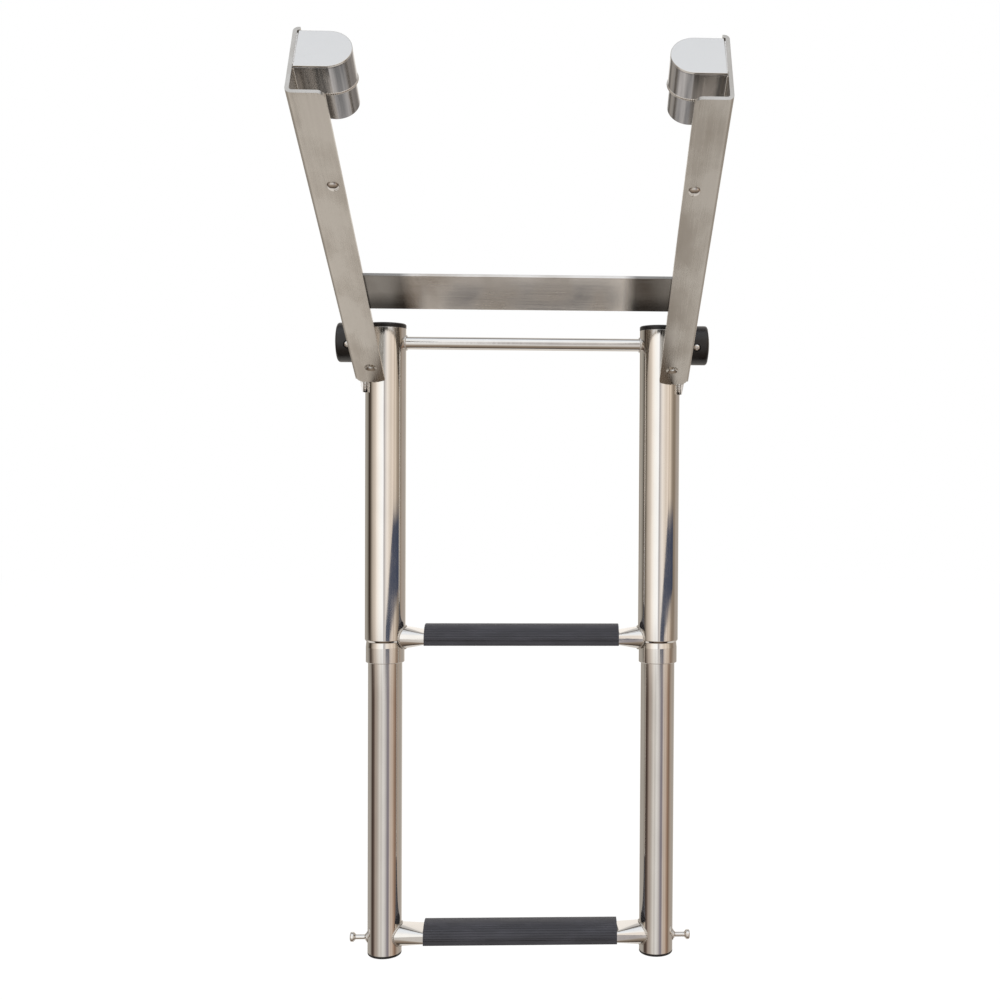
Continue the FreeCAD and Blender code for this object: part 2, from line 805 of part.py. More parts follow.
# The roller screws: domed head, cross recess, shank into the axle.
screws = []
seat = d.roller_dia / 2 - d.screw_sink
shank_len = seat - axle_radius + d.screw_bite
for side, sign in SIDES:
    screw = new_body(f"roller_screw_{side}")
    profile = sketch(screw, "XZ_Plane")
    screw_head = d.screw_head_dia / 2
    outline(
        profile,
        [
            (0, -shank_len),
            (d.screw_dia / 2, -shank_len),
            (d.screw_dia / 2, 0),
            (screw_head, 0),
            (screw_head, d.screw_head_tall * 0.4, screw_head * 1.3, 1),
            (0, d.screw_head_tall),
        ],
    )
    spin(screw, profile)
    cross = sketch(screw, "XY_Plane", d.screw_head_tall * 0.45)
    arm_long = d.screw_head_dia * 0.27
    arm_wide = d.screw_head_dia * 0.08
    outline(
        cross,
        [
            (arm_wide, arm_wide),
            (arm_wide, arm_long),
            (-arm_wide, arm_long),
            (-arm_wide, arm_wide),
            (-arm_long, arm_wide),
            (-arm_long, -arm_wide),
            (-arm_wide, -arm_wide),
            (-arm_wide, -arm_long),
            (arm_wide, -arm_long),
            (arm_wide, -arm_wide),
            (arm_long, -arm_wide),
            (arm_long, arm_wide),
        ],
    )
    pocket(screw, cross, d.screw_head_tall, reverse=True)
    screw.Placement = FreeCAD.Placement(
        FreeCAD.Vector(0, 0, 0), FreeCAD.Rotation(FreeCAD.Vector(1, 0, 0), 90)
    )
    bind(screw, "Placement.Base.x", sign * screw_x)
    bind(screw, "Placement.Base.y", -seat)
    screws.append(screw)
group = doc.addObject("Part::Compound", "roller_screws")
group.Links = screws
group.Label = "roller_screws"
place(group, lean=d.screw_turn)


# --------------------------------------------------------- sliding section

for side, sign in SIDES:
    tube = new_body(f"inner_tube_{side}")
    profile = sketch(tube, "XZ_Plane")
    outline(
        profile,
        [
            (inner_bore, bush_seat),
            (inner_bore, -d.inner_drop),
            (inner_radius, -d.inner_drop),
            (inner_radius, bush_seat),
        ],
    )
    spin(tube, profile)
    place(tube, x=sign * rail)

    bush = new_body(f"guide_bush_{side}")
    profile = sketch(bush, "XZ_Plane")
    collar = outer_bore - d.bush_gap
    plug = inner_bore - d.fit_gap
    outline(
        profile,
        [
            (plug - d.plug_wall, bush_seat + d.bush_len),
            (plug - d.plug_wall, bush_seat - d.bush_plug),
            (plug, bush_seat - d.bush_plug),
            (plug, bush_seat),
            (collar - 1, bush_seat),
            (collar, bush_seat + 1),
            (collar, bush_seat + d.bush_len - 1),
            (collar - 1, bush_seat + d.bush_len),
        ],
    )
    spin(bush, profile)
    place(bush, x=sign * rail)

    cap = new_body(f"end_cap_{side}")
    profile = sketch(cap, "XZ_Plane")
    foot = -d.inner_drop - d.foot_cap_tall
    outline(
        profile,
        [
            (0, foot),
            (inner_radius - d.foot_cap_edge, foot, d.foot_cap_edge, 1),
            (inner_radius, foot + d.foot_cap_edge),
            (inner_radius, -d.inner_drop),
            (plug, -d.inner_drop),
            (plug, d.foot_cap_plug - d.inner_drop),
            (plug - d.plug_wall, d.foot_cap_plug - d.inner_drop),
            (plug - d.plug_wall, -d.inner_drop),
            (0, -d.inner_drop),
        ],
    )
    spin(cap, profile)
    place(cap, x=sign * rail)

    # The stud's foot is cut to the tube that carries it.
    stud = new_body(f"stud_{side}")
    profile = sketch(stud, "XY_Plane")
    root = rail + inner_radius - 1.5
    tip = rail + inner_radius + d.stud_len
    neck = rail + inner_radius + 2.5
    outline(
        profile,
        [
            (sign * root, 0),
            (sign * root, d.stud_base_dia / 2),
            (sign * (rail + inner_radius + 0.6), d.stud_base_dia / 2),
            (sign * neck, d.stud_waist_dia / 2),
            (sign * (tip - d.stud_head_len), d.stud_waist_dia / 2),
            (sign * (tip - d.stud_head_len * 0.55), d.stud_head_dia / 2),
            (sign * (tip - 1.2), d.stud_head_dia / 2, 1.2, -sign),
            (sign * tip, d.stud_head_dia / 2 - 1.2),
            (sign * tip, 0),
        ],
    )
    spin(stud, profile, "H_Axis")
    cope = sketch(stud, "XY_Plane")
    disc(cope, sign * rail, 0, inner_radius + d.fit_gap)
    pocket(stud, cope)
    place(stud, z=-d.stud_drop)


# --------------------------------------------------------- steps and treads


def make_step(label, tube_radius):
    """Tube pressed flat for the tread and coped to the ladder's tubes."""
    body = new_body(label)
    full = rail - outer_radius + d.end_reach
    end = (d.end_depth, d.end_height, d.end_corner)
    flat = (d.flat_depth, d.flat_height, d.flat_corner)
    stations = (
        (-rail, end),
        (-full, end),
        (-flat_half, flat),
        (flat_half, flat),
        (full, end),
        (rail, end),
    )
    for kind, wall in (("AdditiveLoft", 0), ("SubtractiveLoft", d.step_wall)):
        sections = []
        for x, (depth, height, corner) in stations:
            drawing = sketch(body, "YZ_Plane", x)
            inset = 2 * as_size(wall)
            rounded(drawing, depth - inset, height - inset, corner - as_size(wall))
            sections.append(drawing)
        doc.recompute()
        loft = body.newObject(f"PartDesign::{kind}", f"{label}_{kind}")
        loft.Profile = sections[0]
        loft.Sections = sections[1:]
        loft.Ruled = True
        doc.recompute()
    for side, sign in SIDES:
        cope = sketch(body, "XY_Plane")
        disc(cope, sign * rail, 0, tube_radius + d.fit_gap)
        pocket(body, cope)
    return body


def make_tread(label):
    """Ribbed grip: arched top, a band set back along its lower edges and an
    open slot underneath, so that it snaps over the flattened tube."""
    body = new_body(label)
    profile = sketch(body, "YZ_Plane")
    deep = d.tread_depth / 2
    low_deep = deep - d.tread_ledge
    arch_end = deep * ARCH_SHARE
    bottom = -d.tread_foot
    outline(
        profile,
        [
            (deep, -d.tread_waist, d.tread_side, 1),
            (arch_end, d.tread_shoulder, d.tread_arch, 1),
            (0, d.tread_crown, d.tread_arch, 1),
            (-arch_end, d.tread_shoulder, d.tread_side, 1),
            (-deep, -d.tread_waist),
            (-low_deep, -d.tread_waist - d.tread_ledge),
            (-low_deep, bottom + d.tread_skirt, d.tread_skirt, 1),
            (d.tread_skirt - low_deep, bottom),
            (low_deep - d.tread_skirt, bottom, d.tread_skirt, 1),
            (low_deep, bottom + d.tread_skirt),
            (low_deep, -d.tread_waist - d.tread_ledge),
        ],
    )
    pad(body, profile, 2 * tread_half, symmetric=True)
    hole = sketch(body, "YZ_Plane")
    play = 2 * d.fit_gap
    rounded(hole, d.flat_depth + play, d.flat_height + play, d.flat_corner)
    pocket(body, hole)
    slot = sketch(body, "YZ_Plane")
    outline(
        slot,
        [
            (d.tread_slot / 2, bottom - 1),
            (d.tread_slot / 2, 0),
            (-d.tread_slot / 2, 0),
            (-d.tread_slot / 2, bottom - 1),
        ],
    )
    pocket(body, slot)

    # Fine grooves run along the tread, evenly spaced round its arched top.
    grooves = sketch(body, "YZ_Plane")
    for number in range(-RIBS_EACH_SIDE, RIBS_EACH_SIDE + 1):
        turn = number * d.rib_pitch.value / d.tread_arch.value
        across = d.tread_arch * math.sin(turn)
        drop = d.tread_arch * (1 - math.cos(turn))
        disc(grooves, across, d.tread_crown - drop, d.rib_radius)
    for sign in (-1, 1):
        for number in range(RIBS_ON_SIDE):
            turn = (number + 0.6) * d.rib_pitch.value / d.tread_side.value
            across = deep - d.tread_side * (1 - math.cos(turn))
            rise = d.tread_side * math.sin(turn) - d.tread_waist
            disc(grooves, sign * across, rise, d.rib_radius)
    pocket(body, grooves)
    return body


for name, drop, tube_radius in (
    ("upper", d.step_upper_drop, outer_radius),
    ("lower", d.step_lower_drop, inner_radius),
):
    place(make_step(f"step_{name}", tube_radius), z=-drop)
    place(make_tread(f"tread_{name}"), z=-drop)


# ------------------------------------------------------- check and write

doc.recompute()
for thing in doc.Objects:
    if "Invalid" in thing.State or "Error" in thing.State:
        raise RuntimeError(f"{thing.Label} failed: {thing.State}")
for piece in pieces:
    if piece.Shape.isNull() or not piece.Shape.isValid():
        raise RuntimeError(f"{piece.Label} has a bad shape")
    if piece.Shape.Volume <= 0:
        raise RuntimeError(f"{piece.Label} is empty")

os.makedirs("parts", exist_ok=True)
for piece in pieces:
    piece.Shape.exportStep(f"parts/{piece.Label}.step")
    box = piece.Shape.BoundBox
    print(
        f"{piece.Label:20s} {len(piece.Shape.Solids)} solid(s)"
        f" volume {piece.Shape.Volume:10.1f}"
        f" x {box.XMin:8.2f} {box.XMax:8.2f}"
        f" y {box.YMin:8.2f} {box.YMax:8.2f}"
        f" z {box.ZMin:8.2f} {box.ZMax:8.2f}"
    )
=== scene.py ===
"""Folding two-step boarding ladder, dressed as the real one looks.

Everything is in metres in the CAD frame: the origin is the middle of the pivot
axle, X runs across the ladder, Y points away from the climber and Z points up.
Sizes are written in millimetres and turned to metres where points are made.
"""

import logging
import math
from collections.abc import Sequence
from dataclasses import dataclass, replace
from enum import Enum

import bmesh
import bpy
import numpy as np
from mathutils import Matrix, Vector

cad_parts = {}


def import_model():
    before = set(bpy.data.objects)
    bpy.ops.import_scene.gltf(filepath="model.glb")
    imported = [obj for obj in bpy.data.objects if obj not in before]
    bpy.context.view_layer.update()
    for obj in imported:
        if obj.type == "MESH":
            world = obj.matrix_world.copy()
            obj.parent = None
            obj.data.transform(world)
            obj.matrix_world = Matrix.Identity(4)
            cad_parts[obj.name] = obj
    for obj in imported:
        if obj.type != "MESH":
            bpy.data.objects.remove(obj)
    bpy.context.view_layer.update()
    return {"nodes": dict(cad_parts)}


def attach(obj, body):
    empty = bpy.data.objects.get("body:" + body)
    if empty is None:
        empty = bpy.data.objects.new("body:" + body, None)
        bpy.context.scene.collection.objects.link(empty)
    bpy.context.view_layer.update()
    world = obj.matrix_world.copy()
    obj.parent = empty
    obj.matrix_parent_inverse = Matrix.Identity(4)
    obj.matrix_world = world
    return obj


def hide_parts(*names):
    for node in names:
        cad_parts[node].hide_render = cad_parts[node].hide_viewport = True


MM = 0.001
RAIL = 129.0  # from the ladder's middle to each ladder tube's centre line
ARM_LEAN = math.radians(59.8)  # how far the bracket arms lean from upright
SCREW_TURN = math.radians(11.0)  # how far the rollers' screws are turned
SUPPORT = 0.05  # from a rounded corner to the next point on the straight
MERGE = 1e-6  # points nearer to each other than this, in metres, are one
SHARP, WELD_SHARP = 32.0, 60.0  # edges that turn further, in degrees, show
NOISE = (0.3, 0.7)  # the range in which most of a noise's values lie

log = logging.getLogger("ladder")

Socket = bpy.types.NodeSocket
Tree = bpy.types.NodeTree
Wire = Socket | bpy.types.Node
Pair = tuple[float, float]
Triple = tuple[float, float, float]
Spread = tuple[float, float, float, float]  # from two values to two others
Bands = tuple[tuple[float, str], ...]  # places and their colours


class Body(Enum):
    """The parts of the ladder that move as one."""

    BRACKET = "bracket_frame"
    UPPER = "upper_ladder"
    SLIDING = "sliding_section"


class Slot(Enum):
    """The part's material slots."""

    BRUSHED = "brushed_stainless"
    POLISHED = "polished_stainless"
    PLASTIC = "black_plastic"
    TREAD = "tread_plastic"


class Side(Enum):
    """The ladder's two sides, as the climber sees them."""

    LEFT = -1
    RIGHT = 1

    @property
    def word(self) -> str:
        """The side's name as the pieces use it."""
        return self.name.lower()

    @property
    def mirror(self) -> np.ndarray:
        """What turns a right-hand point into this side's."""
        return np.array([self.value, 1.0, 1.0])

    @property
    def rail(self) -> Triple:
        """Where this side's ladder tube crosses the level of the axle."""
        return self.value * RAIL, 0.0, 0.0


# ------------------------------------------------------------------- nodes


def linear(colour: str) -> tuple[float, float, float, float]:
    """Turn an sRGB hex colour into linear light.

    Args:
        colour: Six hex digits after a hash sign.

    Returns:
        Red, green, blue and an alpha of one.
    """
    channels = np.array([int(colour[i : i + 2], 16) for i in (1, 3, 5)]) / 255
    low = channels / 12.92
    high = ((channels + 0.055) / 1.055) ** 2.4
    red, green, blue = np.where(channels <= 0.04045, low, high)
    return float(red), float(green), float(blue), 1.0


def add_node(
    tree: Tree,
    kind: str,
    inputs: dict[str | int, object] | Sequence[object] = (),
    stops: Sequence[tuple[float, str]] = (),
    **settings: object,
) -> bpy.types.Node:
    """Add a node with its settings, values and links.

    Args:
        tree: The node tree.
        kind: The node's type, without the word ShaderNode.
        inputs: What goes into each input, by name or place: a value, another
            node's output, or a node, which gives its first live output.
        stops: Places and hex colours of a colour ramp.
        **settings: The node's own properties.

    Returns:
        The new node.
    """
    made = tree.nodes.new(f"ShaderNode{kind}")
    for name, value in settings.items():
        setattr(made, name, value)
    named = inputs if isinstance(inputs, dict) else dict(enumerate(inputs))
    for key, value in named.items():
        if isinstance(value, bpy.types.Node):
            value = next(output for output in value.outputs if output.enabled)
        if isinstance(value, Socket):
            tree.links.new(value, made.inputs[key])
        else:
            made.inputs[key].default_value = value
    if stops:
        ramp = made.color_ramp.elements
        while len(ramp) < len(stops):
            ramp.new(1.0)
        for element, (place, colour) in zip(ramp, stops):
            element.position = place
            element.color = linear(colour)
    return made


def start_material(name: str) -> tuple[bpy.types.Material, Tree]:
    """Make an empty node material.

    Args:
        name: The material's name.

    Returns:
        The material and its node tree.
    """
    material = bpy.data.materials.new(name)
    material.use_nodes = True
    material.node_tree.nodes.clear()
    return material, material.node_tree


def grain(
    tree: Tree, size: Sequence[float], detail: float, turn: float = 0.0
) -> bpy.types.Node:
    """Add noise whose grains have a real size.

    Args:
        tree: The material's nodes.
        size: The grains' size along X, Y and Z, in millimetres.
        detail: The noise's finer octaves.
        turn: How far the grain is turned about X, in radians.

    Returns:
        The noise, from 0 to 1.
    """
    place = add_node(tree, "TexCoord")
    laid = add_node(
        tree,
        "Mapping",
        {
            "Vector": place.outputs["Object"],
            "Rotation": (turn, 0.0, 0.0),
            "Scale": [part * MM for part in size],
        },
        vector_type="TEXTURE",
    )
    return add_node(
        tree, "TexNoise", {"Vector": laid, "Scale": 1.0, "Detail": detail}
    )


def close_material(
    tree: Tree, relief: Wire, bump: Pair, **looks: Wire | float | Sequence[float]
) -> None:
    """End a material with a bumped surface.

    Args:
        tree: The material's nodes.
        relief: The height of the surface's pattern.
        bump: How strongly the pattern shows, and its height in millimetres.
        **looks: The surface's inputs, with _ for a space.
    """
    strength, height = bump
    raised = add_node(
        tree,
        "Bump",
        {"Strength": strength, "Distance": height * MM, "Height": relief},
    )
    named = {name.replace("_", " "): value for name, value in looks.items()}
    surface = add_node(tree, "BsdfPrincipled", {**named, "Normal": raised})
    add_node(tree, "OutputMaterial", {"Surface": surface})


# ---------------------------------------------------------------- finishes


@dataclass(frozen=True)
class BrushedSheet:
    """304 stainless sheet, belt-ground along its length and then handled.

    The grind gives a satin sheen that runs with the sheet, and handling and
    bending leave soft duller patches.  The real grit is near 0.1 mm, too fine
    to show, so the grain is drawn 0.7 mm wide.  On the rolled and buffed
    straps it is 4 mm, the width of the buffing wheel's streaks.  On a bar,
    painted shade darkens the ends, most along their lower edge.
    """

    name: str = "brushed_304_sheet"
    colour: str = "#cbc7c1"
    patch: str = "#bdb7af"
    size: Triple = (0.7, 0.7, 45.0)
    patch_size: Triple = (38.0, 38.0, 60.0)
    roughness: Pair = (0.20, 0.30)
    patch_edges: Pair = (0.42, 0.66)
    dull_edges: Pair = (0.40, 0.65)
    dulling: Pair = (-0.03, 0.08)
    # The next three fields lay painted shade on a bar's ends: where it grows across,
    # in mm, where it eases upwards, in mm, and the share of colour it takes at the
    # bottom and at the top.
    ends: Pair | None = None
    low: Pair = (22.0, 31.0)
    end_shade_loss: Pair = (-0.88, -0.65)

    def build(self) -> bpy.types.Material:
        """Make the material.

        Returns:
            The material.
        """
        material, tree = start_material(self.name)
        lines = grain(tree, self.size, 3.0, ARM_LEAN)
        patches = grain(tree, self.patch_size, 5.0, ARM_LEAN)
        worn = add_node(
            tree,
            "Mix",
            {
                0: add_node(tree, "MapRange", (patches, *self.patch_edges, 0.0, 1.0)),
                "A": linear(self.colour),
                "B": linear(self.patch),
            },
            data_type="RGBA",
        )
        shade = add_node(tree, "MapRange", (lines, *NOISE, 0.97, 1.03))
        tone = add_node(tree, "HueSaturation", {"Value": shade, "Color": worn})
        gloss = add_node(tree, "MapRange", (lines, *NOISE, *self.roughness))
        dull = add_node(tree, "MapRange", (patches, *self.dull_edges, *self.dulling))
        close_material(
            tree,
            lines,
            (0.10, 0.02),
            # On a bar, the ends get painted shade, darkest along their lower edge.
            Base_Color=self.paint_end_shade(tree, tone) if self.ends else tone,
            Metallic=1.0,
            Roughness=add_node(tree, "Math", (gloss, dull), operation="ADD"),
        )
        return material

    def paint_end_shade(self, tree: Tree, colour: Wire) -> bpy.types.Node:
        """Darken a bar's ends, and their lower edge most.

        The darker ends are painted shade.  What is left of the colour is one,
        less a share that grows with the distance from the ladder's middle and
        shrinks with the height.

        Args:
            tree: The material's nodes.
            colour: The bar's colour.

        Returns:
            The colour with painted shade at its ends.
        """
        ends, low = (np.array(part) * MM for part in (self.ends, self.low))
        place = add_node(tree, "TexCoord")
        split = add_node(tree, "SeparateXYZ", (place.outputs["Object"],))
        across, _, up = split.outputs
        far = add_node(tree, "Math", (across,), operation="ABSOLUTE")
        near_end = add_node(tree, "MapRange", (far, *ends, 0.0, 1.0))
        loss = add_node(tree, "MapRange", (up, *low, *self.end_shade_loss))
        left = add_node(
            tree, "Math", (near_end, loss, 1.0), operation="MULTIPLY_ADD"
        )
        return add_node(tree, "HueSaturation", {"Value": left, "Color": colour})


@dataclass(frozen=True)
class BuffedMetal:
    """304 stainless, buffed to a mirror or nearly so.

    Buffing leaves a faint waviness, which makes the reflections' edges
    wander, and a slight haze where hands and packing have rubbed.
    """

    name: str = "polished_304_tube"
    colour: str = "#e6e4e1"
    roughness: Pair = (0.035, 0.085)
    wave: float = 0.06
    size: Triple = (5.0, 5.0, 55.0)
    haze_size: Triple = (14.0, 14.0, 30.0)

    def build(self) -> bpy.types.Material:
        """Make the material.

        Returns:
            The material.
        """
        material, tree = start_material(self.name)
        waves = grain(tree, self.size, 1.0)
        haze = grain(tree, self.haze_size, 5.0)
        shade = add_node(tree, "MapRange", (haze, *NOISE, 0.97, 1.03))
        close_material(
            tree,
            waves,
            (0.5, self.wave),
            Base_Color=add_node(
                tree, "HueSaturation", {"Value": shade, "Color": linear(self.colour)}
            ),
            Metallic=1.0,
            Roughness=add_node(tree, "MapRange", (haze, *NOISE, *self.roughness)),
        )
        return material


@dataclass(frozen=True)
class WeldMetal:
    """TIG weld in stainless, brushed back but not polished.

    The bead is a little greyer than the tube, with a broken, pebbly gloss.
    """

    name: str = "tig_weld"
    colour: str = "#d2cec8"
    roughness: Pair = (0.18, 0.36)
    pebble: float = 0.9

    def build(self) -> bpy.types.Material:
        """Make the material.

        Returns:
            The material.
        """
        material, tree = start_material(self.name)
        pebbles = grain(tree, (self.pebble,) * 3, 2.0)
        shade = add_node(tree, "MapRange", (pebbles, *NOISE, 0.85, 1.1))
        close_material(
            tree,
            pebbles,
            (0.4, 0.1),
            Base_Color=add_node(
                tree, "HueSaturation", {"Value": shade, "Color": linear(self.colour)}
            ),
            Metallic=1.0,
            Roughness=add_node(tree, "MapRange", (pebbles, *NOISE, *self.roughness)),
        )
        return material


@dataclass(frozen=True)
class MouldedPlastic:
    """Injection-moulded plastic: black nylon caps and rollers, grey treads.

    The mould leaves a very fine orange peel, and the moulding carries soft
    lighter scuffs where it has been handled.  The real peel is near 0.1 mm,
    too fine to show, so it is drawn 0.5 mm wide or more.
    """

    name: str
    colour: str
    scuff: str
    roughness: Pair
    peel: float = 0.5
    scuff_size: Triple = (16.0, 16.0, 16.0)
    scuff_edges: Pair = (0.45, 0.75)

    def build(self) -> bpy.types.Material:
        """Make the material.

        Returns:
            The material.
        """
        material, tree = start_material(self.name)
        peel = grain(tree, (self.peel,) * 3, 2.0)
        scuffs = grain(tree, self.scuff_size, 6.0)
        tone = add_node(
            tree,
            "Mix",
            {
                0: add_node(tree, "MapRange", (scuffs, *self.scuff_edges, 0.0, 1.0)),
                "A": linear(self.colour),
                "B": linear(self.scuff),
            },
            data_type="RGBA",
        )
        close_material(
            tree,
            peel,
            (0.25, 0.05),
            Base_Color=tone,
            Roughness=add_node(tree, "MapRange", (scuffs, *NOISE, *self.roughness)),
            IOR=1.5,
        )
        return material


class Finishes:
    """Every finish on the ladder, each built once."""

    def __init__(self) -> None:
        """Build the materials."""
        self.arms = BrushedSheet().build()
        self.bar = BrushedSheet(
            name="brushed_304_bar",
            colour="#e4e0db",
            patch="#c9c2ba",
            size=(45.0, 0.7, 0.7),
            roughness=(0.15, 0.23),
            # painted shade over the bar's ends, darkest along the lower edge
            ends=(87.0, 98.0),
        ).build()
        self.strap = BrushedSheet(
            name="polished_304_strap",
            colour="#c6c6c9",
            patch="#86888c",
            size=(4.0, 4.0, 160.0),
            patch_size=(7.0, 7.0, 150.0),
            roughness=(0.12, 0.20),
        ).build()
        self.socket = BuffedMetal(
            name="polished_304_socket",
            colour="#dedcd9",
            roughness=(0.12, 0.24),
            wave=0.22,
            size=(9.0, 9.0, 9.0),
        ).build()
        self.tube = BuffedMetal().build()
        self.step = BuffedMetal(
            name="polished_304_pressed_tube",
            roughness=(0.06, 0.14),
            wave=0.10,
            size=(8.0, 6.0, 6.0),
        ).build()
        self.fastener = BuffedMetal(
            name="bright_304_fastener",
            roughness=(0.12, 0.22),
            wave=0.02,
            size=(2.0, 2.0, 2.0),
        ).build()
        self.weld = WeldMetal().build()
        self.nylon = MouldedPlastic(
            "black_nylon_moulding", "#171516", "#2a2828", (0.26, 0.40)
        ).build()
        self.tread = MouldedPlastic(
            "grey_pvc_extrusion",
            "#38383e",
            "#47474e",
            (0.42, 0.58),
            peel=0.8,
            scuff_size=(30.0, 8.0, 8.0),
        ).build()


# ----------------------------------------------------------------- shapes


def circle(steps: int) -> np.ndarray:
    """Space angles evenly round a full turn."""
    return np.linspace(0, 2 * np.pi, steps, endpoint=False)


ROUND = circle(128)


def trace(*parts: np.ndarray | float) -> np.ndarray:
    """Join coordinates, each an array or one number, into points."""
    return np.stack(np.broadcast_arrays(*parts), axis=-1)


def unit(vectors: np.ndarray) -> np.ndarray:
    """Scale vectors to a length of one."""
    return vectors / np.linalg.norm(vectors, axis=-1, keepdims=True)


def travelled(line: np.ndarray) -> np.ndarray:
    """Measure how far along a line each of its points lies."""
    steps = np.linalg.norm(np.diff(line, axis=0), axis=1)
    return np.concatenate([[0.0], np.cumsum(steps)])


def evenly(line: np.ndarray, gap: float, closed: bool = False) -> np.ndarray:
    """Space a line's points evenly by its length.

    Args:
        line: The line's points, in order.
        gap: The distance wanted between points.
        closed: Whether the line's last point joins the first.

    Returns:
        The evenly spaced points.
    """
    if closed:
        line = np.vstack([line, line[:1]])
    place = travelled(line)
    count = max(int(place[-1] / gap), 4)
    wanted = np.linspace(0, place[-1], count, endpoint=not closed)
    return trace(*(np.interp(wanted, place, column) for column in line.T))


def round_corners(
    corners: Sequence[Triple], closed: bool = False, steps: int = 6
) -> np.ndarray:
    """Turn a list of corners into a line with rounded corners.

    At a corner with radius r, an arc leaves both edges at the distance
    r / tan(half the corner's angle).  Its points are the two arc ends, seen
    from the arc's centre, mixed by the sines of the two remaining turns.  One
    more point just before and after each arc keeps the straights' shading
    straight.

    Args:
        corners: Two coordinates and a radius for each corner.
        closed: Whether the last corner joins the first.
        steps: Pieces of each arc.

    Returns:
        The line's points, one row each.
    """
    spots = np.array([corner[:2] for corner in corners], dtype=float)
    share = np.linspace(0.0, 1.0, steps + 1)[:, None]
    line = []
    for index, (*_, radius) in enumerate(corners):
        spot = spots[index]
        if radius == 0 or (not closed and index in (0, len(corners) - 1)):
            line.append(spot[None])
            continue
        back = unit(spots[index - 1] - spot)
        ahead = unit(spots[(index + 1) % len(spots)] - spot)
        half = math.acos(float(np.clip(back @ ahead, -1, 1))) / 2
        reach = radius / math.tan(half)
        centre = spot + unit(back + ahead) * radius / math.sin(half)
        first = spot + back * reach - centre
        last = spot + ahead * reach - centre
        turn = math.pi - 2 * half
        mixed = np.sin((1 - share) * turn) * first + np.sin(share * turn) * last
        arc = centre + mixed / math.sin(turn)
        before, after = arc[0] + back * SUPPORT, arc[-1] + ahead * SUPPORT
        line.append(np.vstack([before, arc, after]))
    return np.vstack(line)


@dataclass(frozen=True)
class Shell:
    """A grid of points in millimetres, with the ways in which it closes."""

    points: np.ndarray
    wrap_rows: bool = True
    wrap_columns: bool = True
    lids: bool = False

    def faces(self) -> list[list[int]]:
        """List the quads between neighbouring points, and the end lids.

        Returns:
            Each face's point numbers.
        """
        rows, columns = self.points.shape[:2]
        down = np.arange(rows if self.wrap_rows else rows - 1)
        across = np.arange(columns if self.wrap_columns else columns - 1)
        row, column = np.meshgrid(down, across, indexing="ij")
        here, below = row * columns, (row + 1) % rows * columns
        beside = (column + 1) % columns
        quads = trace(here + column, below + column, below + beside, here + beside)
        faces = quads.reshape(-1, 4).tolist()
        if self.lids:
            faces.append(list(range(columns)))
            faces.append(list(range((rows - 1) * columns, rows * columns)))
        return faces

    def turned(self, angle: float) -> "Shell":
        """Turn the shell about X.

        Args:
            angle: The turn in radians.

        Returns:
            The turned shell.
        """
        cosine, sine = math.cos(angle), math.sin(angle)
        x, y, z = np.moveaxis(self.points, -1, 0)
        points = trace(x, y * cosine - z * sine, y * sine + z * cosine)
        return replace(self, points=points)


def lathe(
    profile: np.ndarray,
    centre: Sequence[float] = (0.0, 0.0, 0.0),
    axis: str = "Z",
    angles: np.ndarray = ROUND,
    closed: bool = False,
) -> Shell:
    """Turn a profile about an axis.

    A profile point at height h and radius r goes to the centre, plus h along
    the axis, plus r times the cosine and sine of each angle across it.

    Args:
        profile: Rows of radius and height, in millimetres.
        centre: A point on the axis, where the height is zero.
        axis: The axis that the heights run along: X, Z, or -Y.
        angles: The angles of the copies.
        closed: Whether the profile closes on itself.

    Returns:
        The turned surface.
    """
    radius, height = profile.T
    first = radius * np.cos(angles)[:, None]
    second = radius * np.sin(angles)[:, None]
    order = {
        "X": (height, first, second),
        "-Y": (first, -height, second),
        "Z": (first, second, height),
    }
    return Shell(trace(*order[axis]) + np.array(centre), True, closed)


def weld_bead(
    path: np.ndarray,
    radius: float,
    closed: bool = True,
    ripple: float = 1.5,
    run_out: float = 1.5,
) -> Shell:
    """Lay a weld bead along a path.

    A ring of points is carried along the path, square to it.  Its radius
    swells and shrinks by an eighth with the sine of the distance travelled,
    and on an open path it falls to nothing at both ends in a quarter circle.

    Args:
        path: The bead's centre line, in millimetres.
        radius: The bead's radius.
        closed: Whether the path closes on itself.
        ripple: The distance between two ripples.
        run_out: How far from its ends an open bead is full, in radii.

    Returns:
        The bead's surface.
    """
    if closed:
        ahead = unit(np.roll(path, -1, axis=0) - np.roll(path, 1, axis=0))
    else:
        ahead = unit(np.gradient(path, axis=0))
    place = travelled(path)
    swell = radius * (1 + 0.125 * np.sin(2 * np.pi * place / ripple))
    if not closed:
        from_end = np.minimum(place, place[-1] - place)
        near = np.clip(from_end / (run_out * radius), 0.0, 1.0)
        swell = swell * np.sqrt(1 - (1 - near) ** 2)
    along_x = np.abs(ahead[:, :1]) >= 0.9
    side = unit(np.cross(ahead, np.where(along_x, [0, 0, 1.0], [1.0, 0, 0])))
    up = np.cross(side, ahead)
    angle = circle(10)[:, None]
    ring = np.cos(angle) * side[:, None] + np.sin(angle) * up[:, None]
    points = path[:, None] + ring * swell[:, None, None]
    return Shell(points, closed, True)


# ------------------------------------------------------------------ pieces


